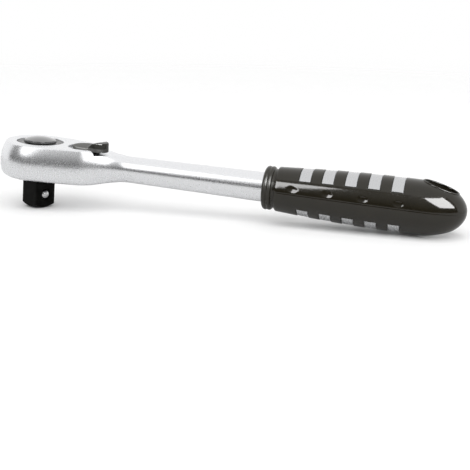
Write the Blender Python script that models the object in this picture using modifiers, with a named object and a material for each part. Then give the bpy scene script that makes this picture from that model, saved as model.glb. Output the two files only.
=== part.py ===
"""Reversible ratchet handle with a half-inch square drive and a quick-release button.

Metres, +Z up. The drive turns about Z and its end face is centred on the origin,
so the square points down. The handle runs along +X at the head's mid height.
"""
import math

import bmesh
import bpy
import numpy as np

MM = 0.001

# Clearances between neighbouring pieces, and how far a cutter runs past what it cuts
FIT = 0.3 * MM
TOOTH_GAP = 0.25 * MM
SWING_GAP = 0.4 * MM
OVERCUT = 2.0 * MM

# Square drive, gear and quick release, all on the drive axis
DRIVE_SQUARE = 12.7 * MM
DRIVE_EDGE_ROUND = 0.7 * MM
DRIVE_PROJECTION = 17.2 * MM
DRIVE_END_SETBACK = 0.65 * MM
DRIVE_END_CHAMFER = 1.9 * MM
DRIVE_TURN = math.radians(-29.2)
LOWER_JOURNAL_RISE = 0.42 * MM
UPPER_JOURNAL_STEP = 0.6 * MM
JOURNAL_LAP = 1.0 * MM
GEAR_TEETH = 36
GEAR_TIP_RADIUS = 14.2 * MM
TOOTH_DEPTH = 1.3 * MM
TOOTH_TIP_FLAT = math.radians(1.6)
TOOTH_ROOT_FLAT = math.radians(1.6)
BALL_HEIGHT = 7.4 * MM
BALL_PROTRUSION = 1.1 * MM
BALL_GAP = 0.35 * MM
BUTTON_WALL = 1.9 * MM
BUTTON_FLANGE_WIDTH = 1.65 * MM
BUTTON_FLANGE_HEIGHT = 1.7 * MM
BUTTON_CROWN = 2.6 * MM
BUTTON_SOCKET_ROOF = 1.4 * MM
BUTTON_TRAVEL = 3.0 * MM
ROD_RADIUS = 1.7 * MM
ROD_RAMP = 0.35
ROD_TAPER = 1.2 * MM
ROD_END_HEIGHT = 5.0 * MM
COLLAR_FLANGE = 1.0 * MM
COLLAR_SLEEVE = 1.9 * MM
COLLAR_RECESS = 1.0 * MM
COLLAR_EDGE = 0.25 * MM
BUTTON_SPRING_INSET = 3.4 * MM
BUTTON_SPRING_WIRE = 0.9 * MM
BUTTON_SPRING_TURNS = 4.5
SPRING_WELL_DEPTH = 5.7 * MM

# Forged head, neck and shank
HEAD_WALL = 6.5 * MM
HEAD_THICKNESS = 19.1 * MM
HEAD_TOP_ROUND = 2.3 * MM
HEAD_BOTTOM_ROUND = 4.5 * MM
HEAD_DRAFT = 1.2 * MM
HEAD_CEILING = 4.4 * MM
NECK_LENGTH = 50.0 * MM
PEAR_FULLNESS = 1.3
NECK_SLOPE_START = 33.0 * MM
NECK_SLOPE_END = 53.0 * MM
SHANK_FRONT_RADIUS = 7.05 * MM
SHANK_REAR_RADIUS = 7.85 * MM
SHANK_FLAT = 0.25 * MM
OPENING_CHAMFER = 0.45 * MM
TANG_SIDE_STEP = 1.25 * MM
TANG_TOP_STEP = 2.85 * MM
TANG_ROUND = 2.2 * MM
TANG_END_WALL = 2.0 * MM

# Cover plate, its retaining ring and the friction washer under the gear
COVER_LAP = 0.8 * MM
COVER_THICKNESS = 1.7 * MM
COVER_EDGE = 0.4 * MM
WASHER_THICKNESS = 0.4 * MM
RING_THICKNESS = 0.9 * MM
RING_WIDTH = 2.0 * MM
RING_BITE = 0.9 * MM
RING_GAP = math.radians(40.0)
RING_LUG = math.radians(12.0)
RING_LUG_HOLE = 0.7 * MM
RING_SETBACK = 0.6 * MM

# Pawl, its pin and the reversing lever
PAWL_PIN_OFFSET = 4.0 * MM
PAWL_PIN_RADIUS = 1.2 * MM
PAWL_PIN_SEAT = 1.6 * MM
PAWL_BACK = 0.2 * MM
PAWL_END_ANGLE = math.radians(42.0)
PAWL_ARM_ANGLE = math.radians(17.0)
PAWL_SWING = math.radians(9.0)
NOTCH_GAP = 0.36 * MM
NOTCH_FLANK = math.radians(28.8)
HORN_LENGTH = 3.6 * MM
HORN_BACK = 1.4 * MM
HORN_WIDTH = 1.2 * MM
POCKET_FLOOR = 4.4 * MM
POCKET_SIDE = 1.7 * MM
POCKET_BACK = 2.0 * MM
POCKET_SHOULDER_SHARE = 0.7
POCKET_THROAT_X = 3.7 * MM
POCKET_THROAT = 1.6 * MM
POCKET_STEM_GAP = 1.0 * MM
LEVER_OFFSET = 8.8 * MM
LEVER_SWING = math.radians(25.0)
STEM_RADIUS = 4.0 * MM
STEM_SEAT = 2.4 * MM
LEVER_RECESS_DEPTH = 2.5 * MM
LEVER_RECESS_FLANK = math.radians(65.0)
LEVER_RECESS_GAP = 2.5 * MM
LEVER_DISC_RADIUS = 7.4 * MM
LEVER_DISC_RISE = 0.7 * MM
LEVER_LENGTH = 15.6 * MM
TAB_LENGTH = 11.0 * MM
TAB_HALF_WIDTH = 4.6 * MM
TAB_RISE = 4.4 * MM
TAB_RAMP_LENGTH = 3.8 * MM
TAB_RAMP_RISE = 3.5 * MM
TAB_UNDERSIDE_DROP = 1.3 * MM
TAB_UNDERSIDE_RISE = 0.6 * MM
TAB_BEVEL = 1.0 * MM
TAB_END_ANGLE = math.radians(78.0)
PLUNGER_RADIUS = 1.4 * MM
PLUNGER_REACH = 5.6 * MM
PLUNGER_LENGTH = 5.3 * MM
PLUNGER_BORE_WALL = 0.8 * MM
DETENT_SPRING_WIRE = 0.45 * MM
DETENT_SPRING_TURNS = 2.5
SNAP_WIRE = 0.7 * MM
SNAP_GAP = math.radians(50.0)

# Moulded grip and the core that shows in its windows
GRIP_START = 127.3 * MM
GRIP_LENGTH = 104.8 * MM
BEAD_WIDTH = 5.0 * MM
BEAD_RISE = 1.1 * MM
BEAD_ROUND = 1.1 * MM
GROOVE_WIDTH = 1.6 * MM
GROOVE_WALL = 2.55 * MM
BODY_RISE = 1.3 * MM
BODY_LIP = 1.0 * MM
BELLY_RISE = 2.6 * MM
BELLY_SHARE = 0.65
NOSE_LENGTH = 22.0 * MM
GRIP_WALL = 2.6 * MM
CORE_START_SETBACK = 10.7 * MM
CORE_END_SETBACK = 27.1 * MM
WINDOW_COUNT = 5
WINDOW_START_MARGIN = 11.4 * MM
WINDOW_END_MARGIN = 8.2 * MM
WINDOW_WIDTH = 6.2 * MM
WINDOW_HALF_ANGLE = math.radians(53.0)
WINDOW_RECESS = 0.6 * MM
DIMPLE_COUNT = 4
DIMPLE_START_MARGIN = 6.8 * MM
DIMPLE_END_MARGIN = 6.2 * MM
DIMPLE_HALF_LENGTH = 5.1 * MM
DIMPLE_HALF_DEPTH = 2.0 * MM
DIMPLE_HALF_HEIGHT = 3.9 * MM
DIMPLE_DEPTH = 0.55 * MM
DIMPLE_RISE = 3.2 * MM
HANG_SETBACK = 13.6 * MM
HANG_HALF_LENGTH = 7.6 * MM
HANG_HALF_WIDTH = 5.3 * MM
HANG_FLARE = 3.3 * MM
HANG_FLARE_ANGLE = 1.25

# Facets round a turned piece, and steps in one turn of a spring
FINE = 40
MEDIUM = 28
COARSE = 16
COIL_STEPS = 9

# Radii and distances worked out from the sizes above
DRIVE_CORNER = DRIVE_SQUARE / 2 ** 0.5
DRIVE_END_RADIUS = DRIVE_SQUARE / 2 - DRIVE_END_SETBACK
LOWER_JOURNAL_RADIUS = DRIVE_CORNER + LOWER_JOURNAL_RISE
GEAR_ROOT_RADIUS = GEAR_TIP_RADIUS - TOOTH_DEPTH
UPPER_JOURNAL_RADIUS = GEAR_ROOT_RADIUS - UPPER_JOURNAL_STEP
OPENING_RADIUS = UPPER_JOURNAL_RADIUS + FIT
COUNTERBORE_RADIUS = UPPER_JOURNAL_RADIUS - BUTTON_WALL
BUTTON_FLANGE_RADIUS = COUNTERBORE_RADIUS - FIT
BUTTON_RADIUS = BUTTON_FLANGE_RADIUS - BUTTON_FLANGE_WIDTH
BUTTON_SPRING_RADIUS = LOWER_JOURNAL_RADIUS - BUTTON_SPRING_INSET
BALL_RADIUS = (DRIVE_SQUARE / 2 + BALL_PROTRUSION - ROD_RADIUS - BALL_GAP) / 2
BALL_CENTRE = DRIVE_SQUARE / 2 + BALL_PROTRUSION - BALL_RADIUS
COVER_RADIUS = GEAR_TIP_RADIUS + COVER_LAP
WASHER_RADIUS = GEAR_ROOT_RADIUS - FIT
HEAD_RADIUS = GEAR_TIP_RADIUS + FIT + HEAD_WALL
PAWL_PIN_X = GEAR_TIP_RADIUS + PAWL_PIN_OFFSET
PAWL_BACK_RADIUS = PAWL_PIN_X + PAWL_BACK
POCKET_HALF_WIDTH = PAWL_BACK_RADIUS * math.sin(PAWL_END_ANGLE) + POCKET_SIDE
LEVER_X = PAWL_PIN_X + LEVER_OFFSET
TANG_HALF_WIDTH = SHANK_REAR_RADIUS - TANG_SIDE_STEP
TANG_HALF_HEIGHT = SHANK_REAR_RADIUS - TANG_TOP_STEP
GROOVE_RADIUS = SHANK_REAR_RADIUS + GROOVE_WALL
BEAD_RADIUS = GROOVE_RADIUS + BEAD_RISE
GRIP_FRONT_RADIUS = GROOVE_RADIUS + BODY_RISE
GRIP_BELLY_RADIUS = GRIP_FRONT_RADIUS + BELLY_RISE
GRIP_END = GRIP_START + GRIP_LENGTH
GRIP_BELLY_X = GRIP_START + GRIP_LENGTH * BELLY_SHARE
CORE_START = GRIP_START + CORE_START_SETBACK
CORE_END = GRIP_END - CORE_END_SETBACK
HANG_X = GRIP_END - HANG_SETBACK

# Heights worked out from the sizes above
HEAD_BOTTOM = DRIVE_PROJECTION
HEAD_TOP = HEAD_BOTTOM + HEAD_THICKNESS
AXIS_HEIGHT = (HEAD_BOTTOM + HEAD_TOP) / 2
CEILING = HEAD_TOP - HEAD_CEILING
RING_BOTTOM = HEAD_BOTTOM + RING_SETBACK
COVER_BOTTOM = RING_BOTTOM + RING_THICKNESS + FIT
COVER_TOP = COVER_BOTTOM + COVER_THICKNESS
WASHER_BOTTOM = COVER_TOP + FIT
GEAR_BOTTOM = WASHER_BOTTOM + WASHER_THICKNESS + FIT
GEAR_TOP = CEILING - 2 * FIT
COLLAR_TOP = HEAD_TOP - COLLAR_RECESS
JOURNAL_TOP = COLLAR_TOP - COLLAR_FLANGE - FIT
COLLAR_BOTTOM = COLLAR_TOP - COLLAR_FLANGE - COLLAR_SLEEVE
FLANGE_TOP = COLLAR_BOTTOM - FIT
FLANGE_BOTTOM = FLANGE_TOP - BUTTON_FLANGE_HEIGHT
COUNTERBORE_FLOOR = FLANGE_BOTTOM - BUTTON_TRAVEL - FIT
WELL_FLOOR = COUNTERBORE_FLOOR - SPRING_WELL_DEPTH
POCKET_BOTTOM = HEAD_BOTTOM + POCKET_FLOOR
POCKET_TOP = CEILING - FIT
PIN_TOP = POCKET_TOP + PAWL_PIN_SEAT
RECESS_FLOOR = HEAD_TOP - LEVER_RECESS_DEPTH
SNAP_HEIGHT = (POCKET_TOP + RECESS_FLOOR) / 2
PLUNGER_HEIGHT = (POCKET_BOTTOM + POCKET_TOP) / 2


def clear_scene():
    """Start from an empty file."""
    for item in list(bpy.data.objects):
        bpy.data.objects.remove(item, do_unlink=True)


def new_collection(name):
    """A collection linked to the scene."""
    collection = bpy.data.collections.new(name)
    bpy.context.scene.collection.children.link(collection)
    return collection


def new_material(name, colour, roughness, metallic):
    """A plain Principled material."""
    made = bpy.data.materials.new(name)
    made.use_nodes = True
    shader = made.node_tree.nodes["Principled BSDF"]
    shader.inputs["Base Color"].default_value = (*colour, 1.0)
    shader.inputs["Roughness"].default_value = roughness
    shader.inputs["Metallic"].default_value = metallic
    made.diffuse_color = (*colour, 1.0)
    return made


def new_empty(name, location, turn=0.0, parent=None):
    """A joint axis: an empty on the axis, turned about Z."""
    empty = bpy.data.objects.new(name, None)
    empty.location = location
    empty.rotation_euler = (0.0, 0.0, turn)
    empty.parent = parent
    PARTS.objects.link(empty)
    return empty


def place(name, data, parent=None, location=(0, 0, 0), rotation=(0, 0, 0), material=None):
    """Link a mesh or curve as a piece, or as a cutter where it has no material."""
    item = bpy.data.objects.new(name, data)
    item.location = location
    item.rotation_euler = rotation
    item.parent = parent
    if material is None:
        CUTTERS.objects.link(item)
        item.hide_render = True
        item.display_type = "WIRE"
    else:
        PARTS.objects.link(item)
        data.materials.append(material)
    return item


def combine(item, other, operation):
    """Cut, join or intersect with another object."""
    step = item.modifiers.new(other.name, "BOOLEAN")
    step.operation = operation
    step.solver = "EXACT"
    step.object = other
    return step


def cut(item, *others):
    for other in others:
        combine(item, other, "DIFFERENCE")


def join(item, *others):
    for other in others:
        combine(item, other, "UNION")


def smooth(item, degrees=35.0):
    """Shade a mesh smooth except across its hard edges."""
    step = item.modifiers.new("Weld", "WELD")
    step.merge_threshold = 0.000001
    item.data.shade_smooth()
    item.data.set_sharp_from_angle(angle=math.radians(degrees))


def turned_mesh(name, profile, closed=False):
    """Profile points (radius, height), down the outer side, as a chain of edges."""
    mesh = bpy.data.meshes.new(name)
    edges = [(i, i + 1) for i in range(len(profile) - 1)]
    if closed:
        edges.append((len(profile) - 1, 0))
    mesh.from_pydata([(radius, 0.0, height) for radius, height in profile], edges, [])
    return mesh


def turned(name, profile, steps=MEDIUM, closed=False, **where):
    """A turned piece: a profile with a Screw modifier about its own Z."""
    item = place(name, turned_mesh(name, profile, closed), **where)
    screw = item.modifiers.new("Screw", "SCREW")
    screw.steps = steps
    screw.render_steps = steps
    screw.use_merge_vertices = True
    screw.merge_threshold = 0.000001
    screw.use_smooth_shade = True
    return item


def cylinder(name, radius, bottom, top, steps=COARSE, **where):
    """A plain turned bar between two heights."""
    profile = [(0, top), (radius, top), (radius, bottom), (0, bottom)]
    return turned(name, profile, steps, **where)


def arc(centre, radius, start, end, count):
    """Points along an arc, both ends included."""
    angles = np.linspace(start, end, count + 1)
    return [(centre[0] + radius * math.cos(a), centre[1] + radius * math.sin(a)) for a in angles]


def mirrored(points):
    """Half an outline above the X axis, then the same below it."""
    return points + [(x, -y) for x, y in reversed(points) if abs(y) > 1e-9]


def bends(points):
    """The points of a closed outline without those part way along a straight side."""
    kept = []
    for before, here, after in zip(points[-1:] + points[:-1], points, points[1:] + points[:1]):
        first = (here[0] - before[0], here[1] - before[1])
        second = (after[0] - here[0], after[1] - here[1])
        if abs(first[0] * second[1] - first[1] * second[0]) > 1e-12:
            kept.append(here)
    return kept


def outline(name, points, bottom, top, **where):
    """A flat outline extruded between two heights, as a welded mesh."""
    points = bends(points)
    curve = bpy.data.curves.new(name + "_outline", "CURVE")
    curve.dimensions = "2D"
    curve.fill_mode = "BOTH"
    curve.extrude = (top - bottom) / 2
    spline = curve.splines.new("POLY")
    spline.points.add(len(points) - 1)
    for point, (x, y) in zip(spline.points, points):
        point.co = (x, y, 0.0, 1.0)
    spline.use_cyclic_u = True
    drawn = bpy.data.objects.new(name + "_outline", curve)
    bpy.context.scene.collection.objects.link(drawn)
    mesh = bpy.data.meshes.new_from_object(drawn.evaluated_get(bpy.context.evaluated_depsgraph_get()))
    bpy.data.objects.remove(drawn, do_unlink=True)
    shell = bmesh.new()
    shell.from_mesh(mesh)
    bmesh.ops.remove_doubles(shell, verts=shell.verts, dist=0.000001)
    bmesh.ops.translate(shell, verts=shell.verts, vec=(0, 0, (top + bottom) / 2))
    bmesh.ops.recalc_face_normals(shell, faces=shell.faces)
    shell.to_mesh(mesh)
    shell.free()
    mesh.name = name
    return place(name, mesh, **where)


def box(name, size, centre, **where):
    """A box of a size about a centre in its parent's frame."""
    shell = bmesh.new()
    bmesh.ops.create_cube(shell, size=1.0)
    bmesh.ops.scale(shell, vec=size, verts=shell.verts)
    bmesh.ops.translate(shell, vec=centre, verts=shell.verts)
    mesh = bpy.data.meshes.new(name)
    shell.to_mesh(mesh)
    shell.free()
    return place(name, mesh, **where)


def ball(name, radius, size=(1, 1, 1), rings=10, **where):
    """A UV sphere, stretched for an ellipsoid."""
    shell = bmesh.new()
    bmesh.ops.create_uvsphere(shell, u_segments=rings * 2, v_segments=rings, radius=radius)
    bmesh.ops.scale(shell, vec=size, verts=shell.verts)
    mesh = bpy.data.meshes.new(name)
    shell.to_mesh(mesh)
    shell.free()
    mesh.shade_smooth()
    return place(name, mesh, **where)


def coil(name, radius, wire, turns, length, **where):
    """A compression spring along its own +Z from 0, as one open-ended tube."""
    count = round(turns * COIL_STEPS)
    share = np.linspace(0.0, 1.0, count + 1)
    angle = share * turns * 2 * math.pi
    rise = wire / 2 + share * (length - wire)
    path = np.stack([radius * np.cos(angle), radius * np.sin(angle), rise], axis=1)
    apart = np.linalg.norm(path[:, None] - path[None, :], axis=2)
    far = np.abs(np.subtract.outer(np.arange(count + 1), np.arange(count + 1))) > COIL_STEPS // 2
    print(name, "least gap to itself", round(1000 * (apart[far].min() - wire), 2), "mm")
    curve = bpy.data.curves.new(name, "CURVE")
    curve.dimensions = "3D"
    curve.bevel_depth = wire / 2
    curve.bevel_resolution = 1
    curve.use_fill_caps = True
    spline = curve.splines.new("POLY")
    spline.points.add(count)
    for point, at in zip(spline.points, path):
        point.co = (*at, 1.0)
    return place(name, curve, **where)


def half_section(half_width, half_height, top_round, bottom_round, draft):
    """Right half of a cross-section, top centre line to bottom centre line."""
    top_width = half_width - draft
    points = [(0.0, half_height), ((top_width - top_round) / 2, half_height)]
    points += arc((top_width - top_round, half_height - top_round), top_round, math.pi / 2, 0.0, 5)
    middle = (bottom_round - top_round) / 2
    points.append((half_width, middle))
    below = (half_width - bottom_round, bottom_round - half_height)
    points += arc(below, bottom_round, 0.0, -math.pi / 2, 5)
    points += [((half_width - bottom_round) / 2, -half_height), (0.0, -half_height)]
    return points


def ease(share):
    """One down to nought along half a cosine."""
    return 0.5 * (1.0 + math.cos(math.pi * min(max(share, 0.0), 1.0)))


def shank_radius(x):
    """The shank swells slowly from the neck to the grip."""
    share = (x - NECK_LENGTH) / (GRIP_START - NECK_LENGTH)
    return SHANK_FRONT_RADIUS + (SHANK_REAR_RADIUS - SHANK_FRONT_RADIUS) * min(max(share, 0.0), 1.0)


def forging_section(x):
    """Cross-section of the head, neck and shank at a distance from the drive axis."""
    width_share = ease((x / NECK_LENGTH) ** PEAR_FULLNESS)
    slope = (x - NECK_SLOPE_START) / (NECK_SLOPE_END - NECK_SLOPE_START)
    radius = shank_radius(x)
    half_width = radius + (HEAD_RADIUS - radius) * width_share
    half_height = radius + (HEAD_THICKNESS / 2 - radius) * ease(slope)
    shank_round = radius - SHANK_FLAT
    opened = (1.0 - width_share) ** 2
    top_round = HEAD_TOP_ROUND + (shank_round - HEAD_TOP_ROUND) * opened
    bottom_round = HEAD_BOTTOM_ROUND + (shank_round - HEAD_BOTTOM_ROUND) * opened
    return half_section(half_width, half_height, top_round, bottom_round, HEAD_DRAFT * width_share)


def forging_mesh():
    """Half of the forging: the head's end swept round the drive axis, then lofted stations."""
    end = forging_section(0.0)
    columns = []
    for turn in np.linspace(0.0, math.pi / 2, 9)[:-1]:
        columns.append([(-r * math.cos(turn), r * math.sin(turn), z) for r, z in end])
    neck = [NECK_SLOPE_END * share for share in np.linspace(0.0, 1.0, 15)]
    shoulder = CORE_START - FIT
    shank = list(np.linspace(NECK_SLOPE_END, shoulder, 4)[1:])
    for x in neck + shank:
        columns.append([(x, y, z) for y, z in forging_section(x)])
    tang = half_section(TANG_HALF_WIDTH, TANG_HALF_HEIGHT, TANG_ROUND, TANG_ROUND, 0.0)
    for x in (shoulder + FIT, CORE_END - TANG_END_WALL):
        columns.append([(x, y, z) for y, z in tang])
    shell = bmesh.new()
    grid = [[shell.verts.new(point) for point in column] for column in columns]
    for left, right in zip(grid, grid[1:]):
        for i in range(len(left) - 1):
            shell.faces.new((left[i], right[i], right[i + 1], left[i + 1]))
    shell.faces.new(reversed(grid[-1]))
    bmesh.ops.remove_doubles(shell, verts=shell.verts, dist=0.000001)
    bmesh.ops.translate(shell, verts=shell.verts, vec=(0, 0, AXIS_HEIGHT))
    mesh = bpy.data.meshes.new("head_and_shank")
    shell.to_mesh(mesh)
    shell.free()
    return mesh


def gear_outline(growth=0.0):
    """Ratchet teeth with straight flanks, grown all round by a clearance."""
    pitch = 2 * math.pi / GEAR_TEETH
    tip_half = TOOTH_TIP_FLAT / 2
    root_half = (pitch - TOOTH_ROOT_FLAT) / 2
    lean = math.atan2((root_half - tip_half) * GEAR_ROOT_RADIUS, TOOTH_DEPTH)
    spread = growth / math.cos(lean) / GEAR_ROOT_RADIUS

    def half_angle(radius):
        share = (radius - GEAR_ROOT_RADIUS) / TOOTH_DEPTH
        return root_half + spread + (tip_half - root_half) * share

    tip = GEAR_TIP_RADIUS + growth
    root = GEAR_ROOT_RADIUS + growth
    points = []
    for tooth in range(GEAR_TEETH):
        middle = (tooth + 0.5) * pitch
        for side, radius in ((-1, root), (-1, tip), (1, tip), (1, root)):
            angle = middle + side * half_angle(radius)
            points.append((radius * math.cos(angle), radius * math.sin(angle)))
    return points


def make_head():
    """The forged head, neck, shank and tang, with its cavity cut from below."""
    head = place("head_and_shank", forging_mesh(), material=SATIN_CHROME)
    mirror = head.modifiers.new("Mirror", "MIRROR")
    mirror.use_axis = (False, True, False)
    mirror.merge_threshold = 0.00001
    bore = GEAR_TIP_RADIUS + FIT
    seat = COVER_RADIUS + FIT
    groove = seat + RING_BITE
    below = HEAD_BOTTOM - OVERCUT
    above = HEAD_TOP + OVERCUT
    cavity = turned("cut_gear_bore", [
        (0, CEILING), (bore, CEILING), (bore, COVER_TOP + FIT), (seat, COVER_TOP + FIT),
        (seat, COVER_BOTTOM), (groove, COVER_BOTTOM), (groove, RING_BOTTOM - FIT),
        (seat, RING_BOTTOM - FIT), (seat, below), (0, below)], FINE)
    opening = turned("cut_top_opening", [
        (0, above), (OPENING_RADIUS + OPENING_CHAMFER, above),
        (OPENING_RADIUS + OPENING_CHAMFER, HEAD_TOP), (OPENING_RADIUS, HEAD_TOP - OPENING_CHAMFER),
        (OPENING_RADIUS, CEILING - OVERCUT), (0, CEILING - OVERCUT)], FINE)
    pocket_end = LEVER_X + STEM_RADIUS + SWING_GAP
    pocket = outline("cut_pawl_pocket", mirrored([
        (0, 0), (PAWL_PIN_X - POCKET_HALF_WIDTH + SWING_GAP, POCKET_HALF_WIDTH),
        (PAWL_PIN_X - POCKET_BACK, POCKET_HALF_WIDTH),
        (PAWL_PIN_X + SWING_GAP, POCKET_HALF_WIDTH * POCKET_SHOULDER_SHARE),
        (PAWL_PIN_X + POCKET_THROAT_X, STEM_RADIUS + POCKET_THROAT),
        (LEVER_X, STEM_RADIUS + POCKET_STEM_GAP), (pocket_end, STEM_RADIUS / 2), (pocket_end, 0)]),
        POCKET_BOTTOM, POCKET_TOP)
    pin_hole = cylinder("cut_pin_hole", PAWL_PIN_RADIUS + FIT, below, PIN_TOP,
                        location=(PAWL_PIN_X, 0, 0))
    reach = STEM_RADIUS + FIT
    snap = reach + SNAP_WIRE
    half = SNAP_WIRE / 2 + FIT
    stem_hole = turned("cut_stem_hole", [
        (0, above), (reach, above), (reach, SNAP_HEIGHT + half), (snap, SNAP_HEIGHT + half),
        (snap, SNAP_HEIGHT - half), (reach, SNAP_HEIGHT - half),
        (reach, POCKET_BOTTOM - STEM_SEAT), (0, POCKET_BOTTOM - STEM_SEAT)], MEDIUM,
        location=(LEVER_X, 0, 0))
    wall = LEVER_DISC_RADIUS + LEVER_RECESS_GAP
    recess = outline("cut_lever_recess", mirrored(
        [(NECK_SLOPE_END - LEVER_X, 0), (NECK_SLOPE_END - LEVER_X, 2 * wall)]
        + arc((0, 0), wall, LEVER_RECESS_FLANK, math.pi, 12)), RECESS_FLOOR, above, location=(LEVER_X, 0, 0))
    cut(head, cavity, opening, pocket, pin_hole, stem_hole, recess)
    smooth(head)


def make_cover():
    """The plate that closes the head under the gear, the ring that holds it and the washer on it."""
    hole = LOWER_JOURNAL_RADIUS + FIT
    turned("cover_plate", [
        (hole, COVER_TOP), (COVER_RADIUS, COVER_TOP), (COVER_RADIUS, COVER_BOTTOM + COVER_EDGE),
        (COVER_RADIUS - COVER_EDGE, COVER_BOTTOM), (hole, COVER_BOTTOM)], FINE, closed=True, material=STEEL)
    washer_top = WASHER_BOTTOM + WASHER_THICKNESS
    turned("friction_washer", [
        (hole, washer_top), (WASHER_RADIUS, washer_top), (WASHER_RADIUS, WASHER_BOTTOM),
        (hole, WASHER_BOTTOM)], FINE, closed=True, material=SPRING_STEEL)
    outside = COVER_RADIUS + RING_BITE
    inside = outside - RING_WIDTH
    lug = (LOWER_JOURNAL_RADIUS + inside) / 2
    start = RING_GAP / 2
    points = arc((0, 0), outside, start, 2 * math.pi - start, FINE)
    points += arc((0, 0), lug, 2 * math.pi - start, 2 * math.pi - start - RING_LUG, 2)
    points += arc((0, 0), inside, 2 * math.pi - start - RING_LUG, start + RING_LUG, FINE)
    points += arc((0, 0), lug, start + RING_LUG, start, 2)
    ring = outline("cover_retaining_ring", points, RING_BOTTOM, RING_BOTTOM + RING_THICKNESS,
                   material=SPRING_STEEL)
    middle = (lug + inside + RING_WIDTH / 2) / 2
    for side in (-1, 1):
        angle = side * (start + RING_LUG / 2)
        cut(ring, cylinder(f"cut_ring_lug_{side + 1}", RING_LUG_HOLE, RING_BOTTOM - FIT,
                           RING_BOTTOM + RING_THICKNESS + FIT,
                           location=(middle * math.cos(angle), middle * math.sin(angle), 0)))


def make_drive():
    """Ratchet gear and square drive in one piece, bored for the quick release."""
    gear = outline("drive_gear", gear_outline(), GEAR_BOTTOM, GEAR_TOP, parent=DRIVE_AXIS,
                   material=BLACK_OXIDE)
    journals = turned("join_journals", [
        (0, JOURNAL_TOP), (UPPER_JOURNAL_RADIUS, JOURNAL_TOP),
        (UPPER_JOURNAL_RADIUS, GEAR_TOP - JOURNAL_LAP), (LOWER_JOURNAL_RADIUS, GEAR_BOTTOM + JOURNAL_LAP),
        (LOWER_JOURNAL_RADIUS, HEAD_BOTTOM + FIT), (0, HEAD_BOTTOM + FIT)], FINE, parent=DRIVE_AXIS)
    square = box("join_square", (DRIVE_SQUARE, DRIVE_SQUARE, GEAR_BOTTOM),
                 (0, 0, GEAR_BOTTOM / 2), parent=DRIVE_AXIS, rotation=(0, 0, DRIVE_TURN))
    rounding = square.modifiers.new("Bevel", "BEVEL")
    rounding.width = DRIVE_EDGE_ROUND
    rounding.segments = 2
    rounding.limit_method = "WEIGHT"
    weights = square.data.attributes.new("bevel_weight_edge", "FLOAT", "EDGE")
    for edge in square.data.edges:
        low, high = (square.data.vertices[i].co for i in edge.vertices)
        weights.data[edge.index].value = 1.0 if abs(low.z - high.z) > FIT else 0.0
    wide = DRIVE_CORNER + FIT
    slope = DRIVE_END_CHAMFER * (wide - DRIVE_END_RADIUS) / (DRIVE_CORNER - DRIVE_END_RADIUS)
    envelope = turned("trim_drive_end", [
        (0, HEAD_TOP), (wide, HEAD_TOP), (wide, slope), (DRIVE_END_RADIUS, 0), (0, 0)],
        FINE, parent=DRIVE_AXIS)
    combine(square, envelope, "INTERSECT")
    join(gear, journals, square)
    well = BUTTON_SPRING_RADIUS + BUTTON_SPRING_WIRE / 2 + 2 * FIT
    rod = ROD_RADIUS + FIT
    rod_floor = ROD_END_HEIGHT - BUTTON_TRAVEL - FIT
    bores = turned("cut_release_bores", [
        (0, HEAD_TOP), (COUNTERBORE_RADIUS, HEAD_TOP), (COUNTERBORE_RADIUS, COUNTERBORE_FLOOR),
        (well, COUNTERBORE_FLOOR),
        (well, WELL_FLOOR), (rod, WELL_FLOOR), (rod, rod_floor), (0, rod_floor)], MEDIUM, parent=DRIVE_AXIS)
    ball_hole = cylinder("cut_ball_hole", BALL_RADIUS + FIT, ROD_RADIUS / 2, DRIVE_SQUARE, MEDIUM,
                         parent=BALL_AXIS, rotation=(0, math.pi / 2, 0))
    cut(gear, bores, ball_hole)
    smooth(gear)


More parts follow.
